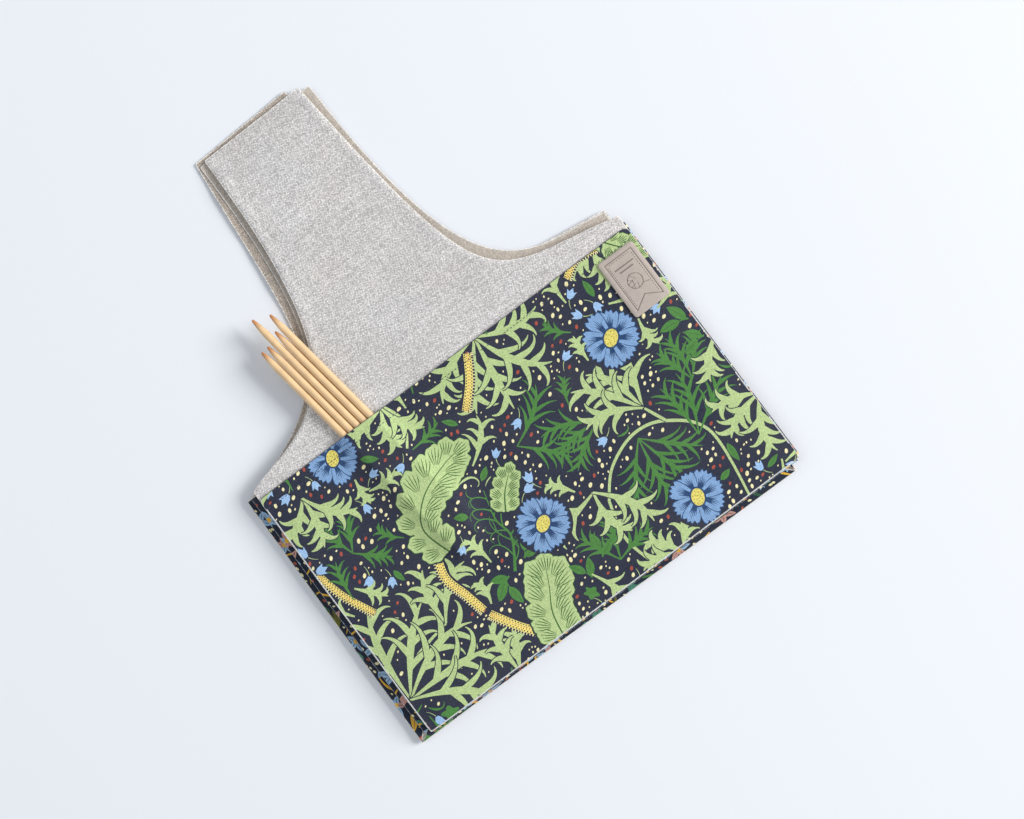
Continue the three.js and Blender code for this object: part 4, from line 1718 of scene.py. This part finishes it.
LABEL_TONE = srgb(188, 176, 168)
LABEL_DARK = srgb(120, 108, 102)
LABEL_LOW, LABEL_HIGH = box_mm("label")
LABEL_MIDDLE = (LABEL_LOW + LABEL_HIGH) / 2
LABEL_THICKNESS = LABEL_HIGH[2] - LABEL_LOW[2]
RIBBON_INSET = 3.6
RIBBON_NOTCH = 7.5


def ribbon_outline(inset):
    """The corners of the ribbon pressed into the label, notched at its foot."""
    left, bottom = LABEL_LOW[:2] + inset
    right, top = LABEL_HIGH[:2] - inset
    middle = (left + right) / 2
    return [np.array(p) for p in ((left, top), (left, bottom), (middle, bottom + RIBBON_NOTCH),
                                  (right, bottom), (right, top))]


def segment_distance(u, v, start, stop):
    along = stop - start
    t = np.clip(((u - start[0]) * along[0] + (v - start[1]) * along[1]) / (along @ along), 0, 1)
    return np.hypot(u - start[0] - t * along[0], v - start[1] - t * along[1])


def label_lines(u, v):
    """How deep the label is pressed, from 0 to 1."""
    ring = ribbon_outline(RIBBON_INSET)
    depth = np.zeros_like(u)
    for start, stop in zip(ring, ring[1:] + ring[:1]):
        depth = np.maximum(depth, 1 - smoothstep(segment_distance(u, v, start, stop), 0.35, 0.7))
    middle_x = LABEL_MIDDLE[0]
    for height, half in ((13.5, 8.5), (10.0, 6.0)):
        y = LABEL_MIDDLE[1] + height
        bar = segment_distance(u, v, np.array((middle_x - half, y)), np.array((middle_x + half, y)))
        depth = np.maximum(depth, 1 - smoothstep(bar, 0.45, 0.85))
    ball_y = LABEL_MIDDLE[1] - 1.5
    du, dv = u - middle_x, v - ball_y
    reach = np.hypot(du, dv)
    depth = np.maximum(depth, 1 - smoothstep(np.abs(reach - 6.2), 0.3, 0.6))
    for angle in (25, 95, 155):
        a = math.radians(angle)
        across = du * math.cos(a) + dv * math.sin(a)
        arcs = np.abs(np.abs(across + 0.03 * (du * -math.sin(a) + dv * math.cos(a)) ** 2) - 1.7)
        wound = (1 - smoothstep(arcs, 0.22, 0.45)) * (reach < 6.0)
        sector = smoothstep(np.cos(np.arctan2(dv, du) - a - 1.2), 0.1, 0.4)
        depth = np.maximum(depth, wound * sector)
    ball = np.array((middle_x, ball_y))
    tail = segment_distance(u, v, ball + (4.5, -4.6), ball + (9, -6.0))
    return np.maximum(depth, 1 - smoothstep(tail, 0.3, 0.6))


def dotted_marks():
    """Stitch places just inside the ribbon's top and sides."""
    ring = ribbon_outline(RIBBON_INSET + 1.7)
    runs = [(ring[1], ring[0]), (ring[0], ring[4]), (ring[4], ring[3])]
    marks = []
    for start, stop in runs:
        along = stop - start
        heading = math.degrees(math.atan2(along[1], along[0]))
        count = int(np.linalg.norm(along) / 2.0)
        for k in range(1, count):
            x, y = lerp(start, stop, k / count)
            marks.append((x, y, heading))
    return marks


def make_label():
    low, high = LABEL_LOW[:2], LABEL_HIGH[:2]
    corners = [(low[0], low[1]), (high[0], low[1]), (high[0], high[1]), (low[0], high[1])]
    cut = rounded(corners, 2.0, 0.8)
    place = pocket_surface(COTTON / 2 + 0.1 + LABEL_THICKNESS / 2)
    inner = grid_inside(cut, 0.4)

    def pressed(u, v):
        edge = np.minimum(np.minimum(u - low[0], high[0] - u), np.minimum(v - low[1], high[1] - v))
        return -0.32 * label_lines(u, v) - 0.25 * (1 - smoothstep(edge, 0, 1.4))

    label = cloth("label_patch", cut, place, LABEL_THICKNESS, (LABEL_TONE, LABEL_TONE, LABEL_TONE),
                  spacing=6.0, inner=inner, emboss=pressed)
    shade_label(label)
    dress(label, LEATHER, "label_leather", "front_half", ("label",))
    stitches = make_stitches("label_stitches", place, LABEL_THICKNESS / 2 - 0.08, dotted_marks(),
                             THREAD_BROWN, 1.2, 0.28)
    dress(stitches, THREAD, "thread", "front_half", ("label_stitching",))


def shade_label(label):
    """Darkens the label's pressed lines."""
    mesh = label.data
    count = len(mesh.loops)
    uv = np.empty(count * 2)
    mesh.uv_layers["cloth"].data.foreach_get("uv", uv)
    uv = uv.reshape(-1, 2)
    depth = label_lines(uv[:, 0], uv[:, 1])[:, None]
    tones = lerp(np.array(LABEL_TONE), np.array(LABEL_DARK), depth)
    mesh.color_attributes["print"].data.foreach_set("color", np.hstack([tones, np.ones((count, 1))]).ravel())


# ---------------------------------------------------------------------------------------------
# Needles

BAMBOO_TONE = srgb(234, 199, 152)
BAMBOO_TIP = srgb(196, 130, 74)


def make_needle(node):
    """A double-pointed needle: a smooth turned rod with tapered, slightly burnished ends."""
    middle = node_points(node).mean(0)
    around = 40
    taper_steps = NEEDLE_TAPER * (1 - np.cos(np.linspace(0, math.pi / 2, 14)))
    ends = NEEDLE_HALF - np.concatenate([[0, 0.12, 0.3, 0.6, 0.9], taper_steps[2:]])
    shaft = np.linspace(-NEEDLE_HALF + NEEDLE_TAPER, NEEDLE_HALF - NEEDLE_TAPER, 24)
    along = np.unique(np.round(np.concatenate([-ends, shaft, ends]), 4))
    radius = needle_radius(along)
    sideways = np.array([NEEDLE_AXIS[1], -NEEDLE_AXIS[0], 0.0])
    up = np.array([0.0, 0.0, 1.0])
    coords, uvs, tones = [], [], []
    for s, r in zip(along, radius):
        for k in range(around):
            a = k * TAU / around
            spoke = sideways * math.cos(a) + up * math.sin(a)
            coords.append(middle + NEEDLE_AXIS * s + spoke * max(r, 0.02))
            uvs.append((NEEDLE_RADIUS * min(a, TAU - a), s + 260 * NEEDLES.index(node)))
    faces = []
    for i in range(len(along) - 1):
        burnish = smoothstep(abs(along[i]), NEEDLE_HALF - NEEDLE_TAPER * 0.75, NEEDLE_HALF - 2)
        tone = lerp(np.array(BAMBOO_TONE), np.array(BAMBOO_TIP), float(burnish))
        for k in range(around):
            a0, a1 = i * around + k, i * around + (k + 1) % around
            faces += [[a0, a1, a1 + around], [a0, a1 + around, a0 + around]]
            tones += [tone, tone]
    for first, flip in ((0, True), ((len(along) - 1) * around, False)):
        for k in range(1, around - 1):
            ring = [first, first + k, first + k + 1]
            faces.append(ring[::-1] if flip else ring)
            tones.append(np.array(BAMBOO_TIP))
    piece = mesh_object(f"bamboo_{node}", coords, faces, None, uvs, tones)
    dress(piece, BAMBOO, "bamboo", node, (node,))


# ---------------------------------------------------------------------------------------------
# Floor, lights and camera


def make_floor():
    bpy.ops.mesh.primitive_plane_add(size=12, location=(0, 0, -0.0003))
    floor = bpy.context.object
    floor.name = "floor"
    floor.data.materials.append(floor_material())


IMAGE_RIGHT = Vector((0.801, -0.598, 0))
IMAGE_UP = Vector((0.598, 0.801, 0))
CAMERA_PLACE = (0.022, 0.1655, 1.131)
LIGHTS_AIM = Vector((0, 0.2, 0))
KEY_COLOUR = (1.0, 0.985, 0.96)
FILL_COLOUR = (0.94, 0.97, 1.0)
SKY_COLOUR = (0.93, 0.96, 1.0, 1)
SKY_STRENGTH = 0.445


def area_light(name, offset_right, offset_up, height, size, power, colour):
    """A square soft box above the bag, aimed at it. Offsets are along the picture's axes."""
    light = bpy.data.lights.new(name, "AREA")
    light.shape = "SQUARE"
    light.size = size
    light.energy = power
    light.color = colour
    made = bpy.data.objects.new(name, light)
    made.location = LIGHTS_AIM + IMAGE_RIGHT * offset_right + IMAGE_UP * offset_up + Vector((0, 0, height))
    made.rotation_euler = (LIGHTS_AIM - made.location).to_track_quat("-Z", "Y").to_euler()
    bpy.context.scene.collection.objects.link(made)


def make_lights():
    area_light("key", offset_right=4.5, offset_up=1.6, height=2.7, size=2.5, power=350, colour=KEY_COLOUR)
    area_light("fill", offset_right=-1.6, offset_up=0.2, height=1.9, size=2.2, power=12, colour=FILL_COLOUR)
    world = bpy.data.worlds.new("studio")
    world.use_nodes = True
    backdrop = world.node_tree.nodes["Background"]
    backdrop.inputs["Color"].default_value = SKY_COLOUR
    backdrop.inputs["Strength"].default_value = SKY_STRENGTH
    bpy.context.scene.world = world


def make_camera():
    """Straight above the bag, which lies turned in the picture."""
    lens = bpy.data.cameras.new("camera")
    lens.lens = 50
    lens.sensor_width = 36
    camera = bpy.data.objects.new("camera", lens)
    camera.matrix_world = Matrix((
        (IMAGE_RIGHT.x, IMAGE_UP.x, 0, CAMERA_PLACE[0]),
        (IMAGE_RIGHT.y, IMAGE_UP.y, 0, CAMERA_PLACE[1]),
        (0, 0, 1, CAMERA_PLACE[2]),
        (0, 0, 0, 1),
    ))
    bpy.context.scene.collection.objects.link(camera)
    bpy.context.scene.camera = camera


make_linen_cuts()
make_front_pocket()
make_back_pocket()
make_side_pleat("left", -1, 5.0, 11)
make_side_pleat("right", 1, 1.5, 13)
make_base_pleat()
make_label()
for needle_node in NEEDLES:
    make_needle(needle_node)
make_floor()
make_lights()
make_camera()
bpy.context.scene.view_settings.view_transform = "Standard"
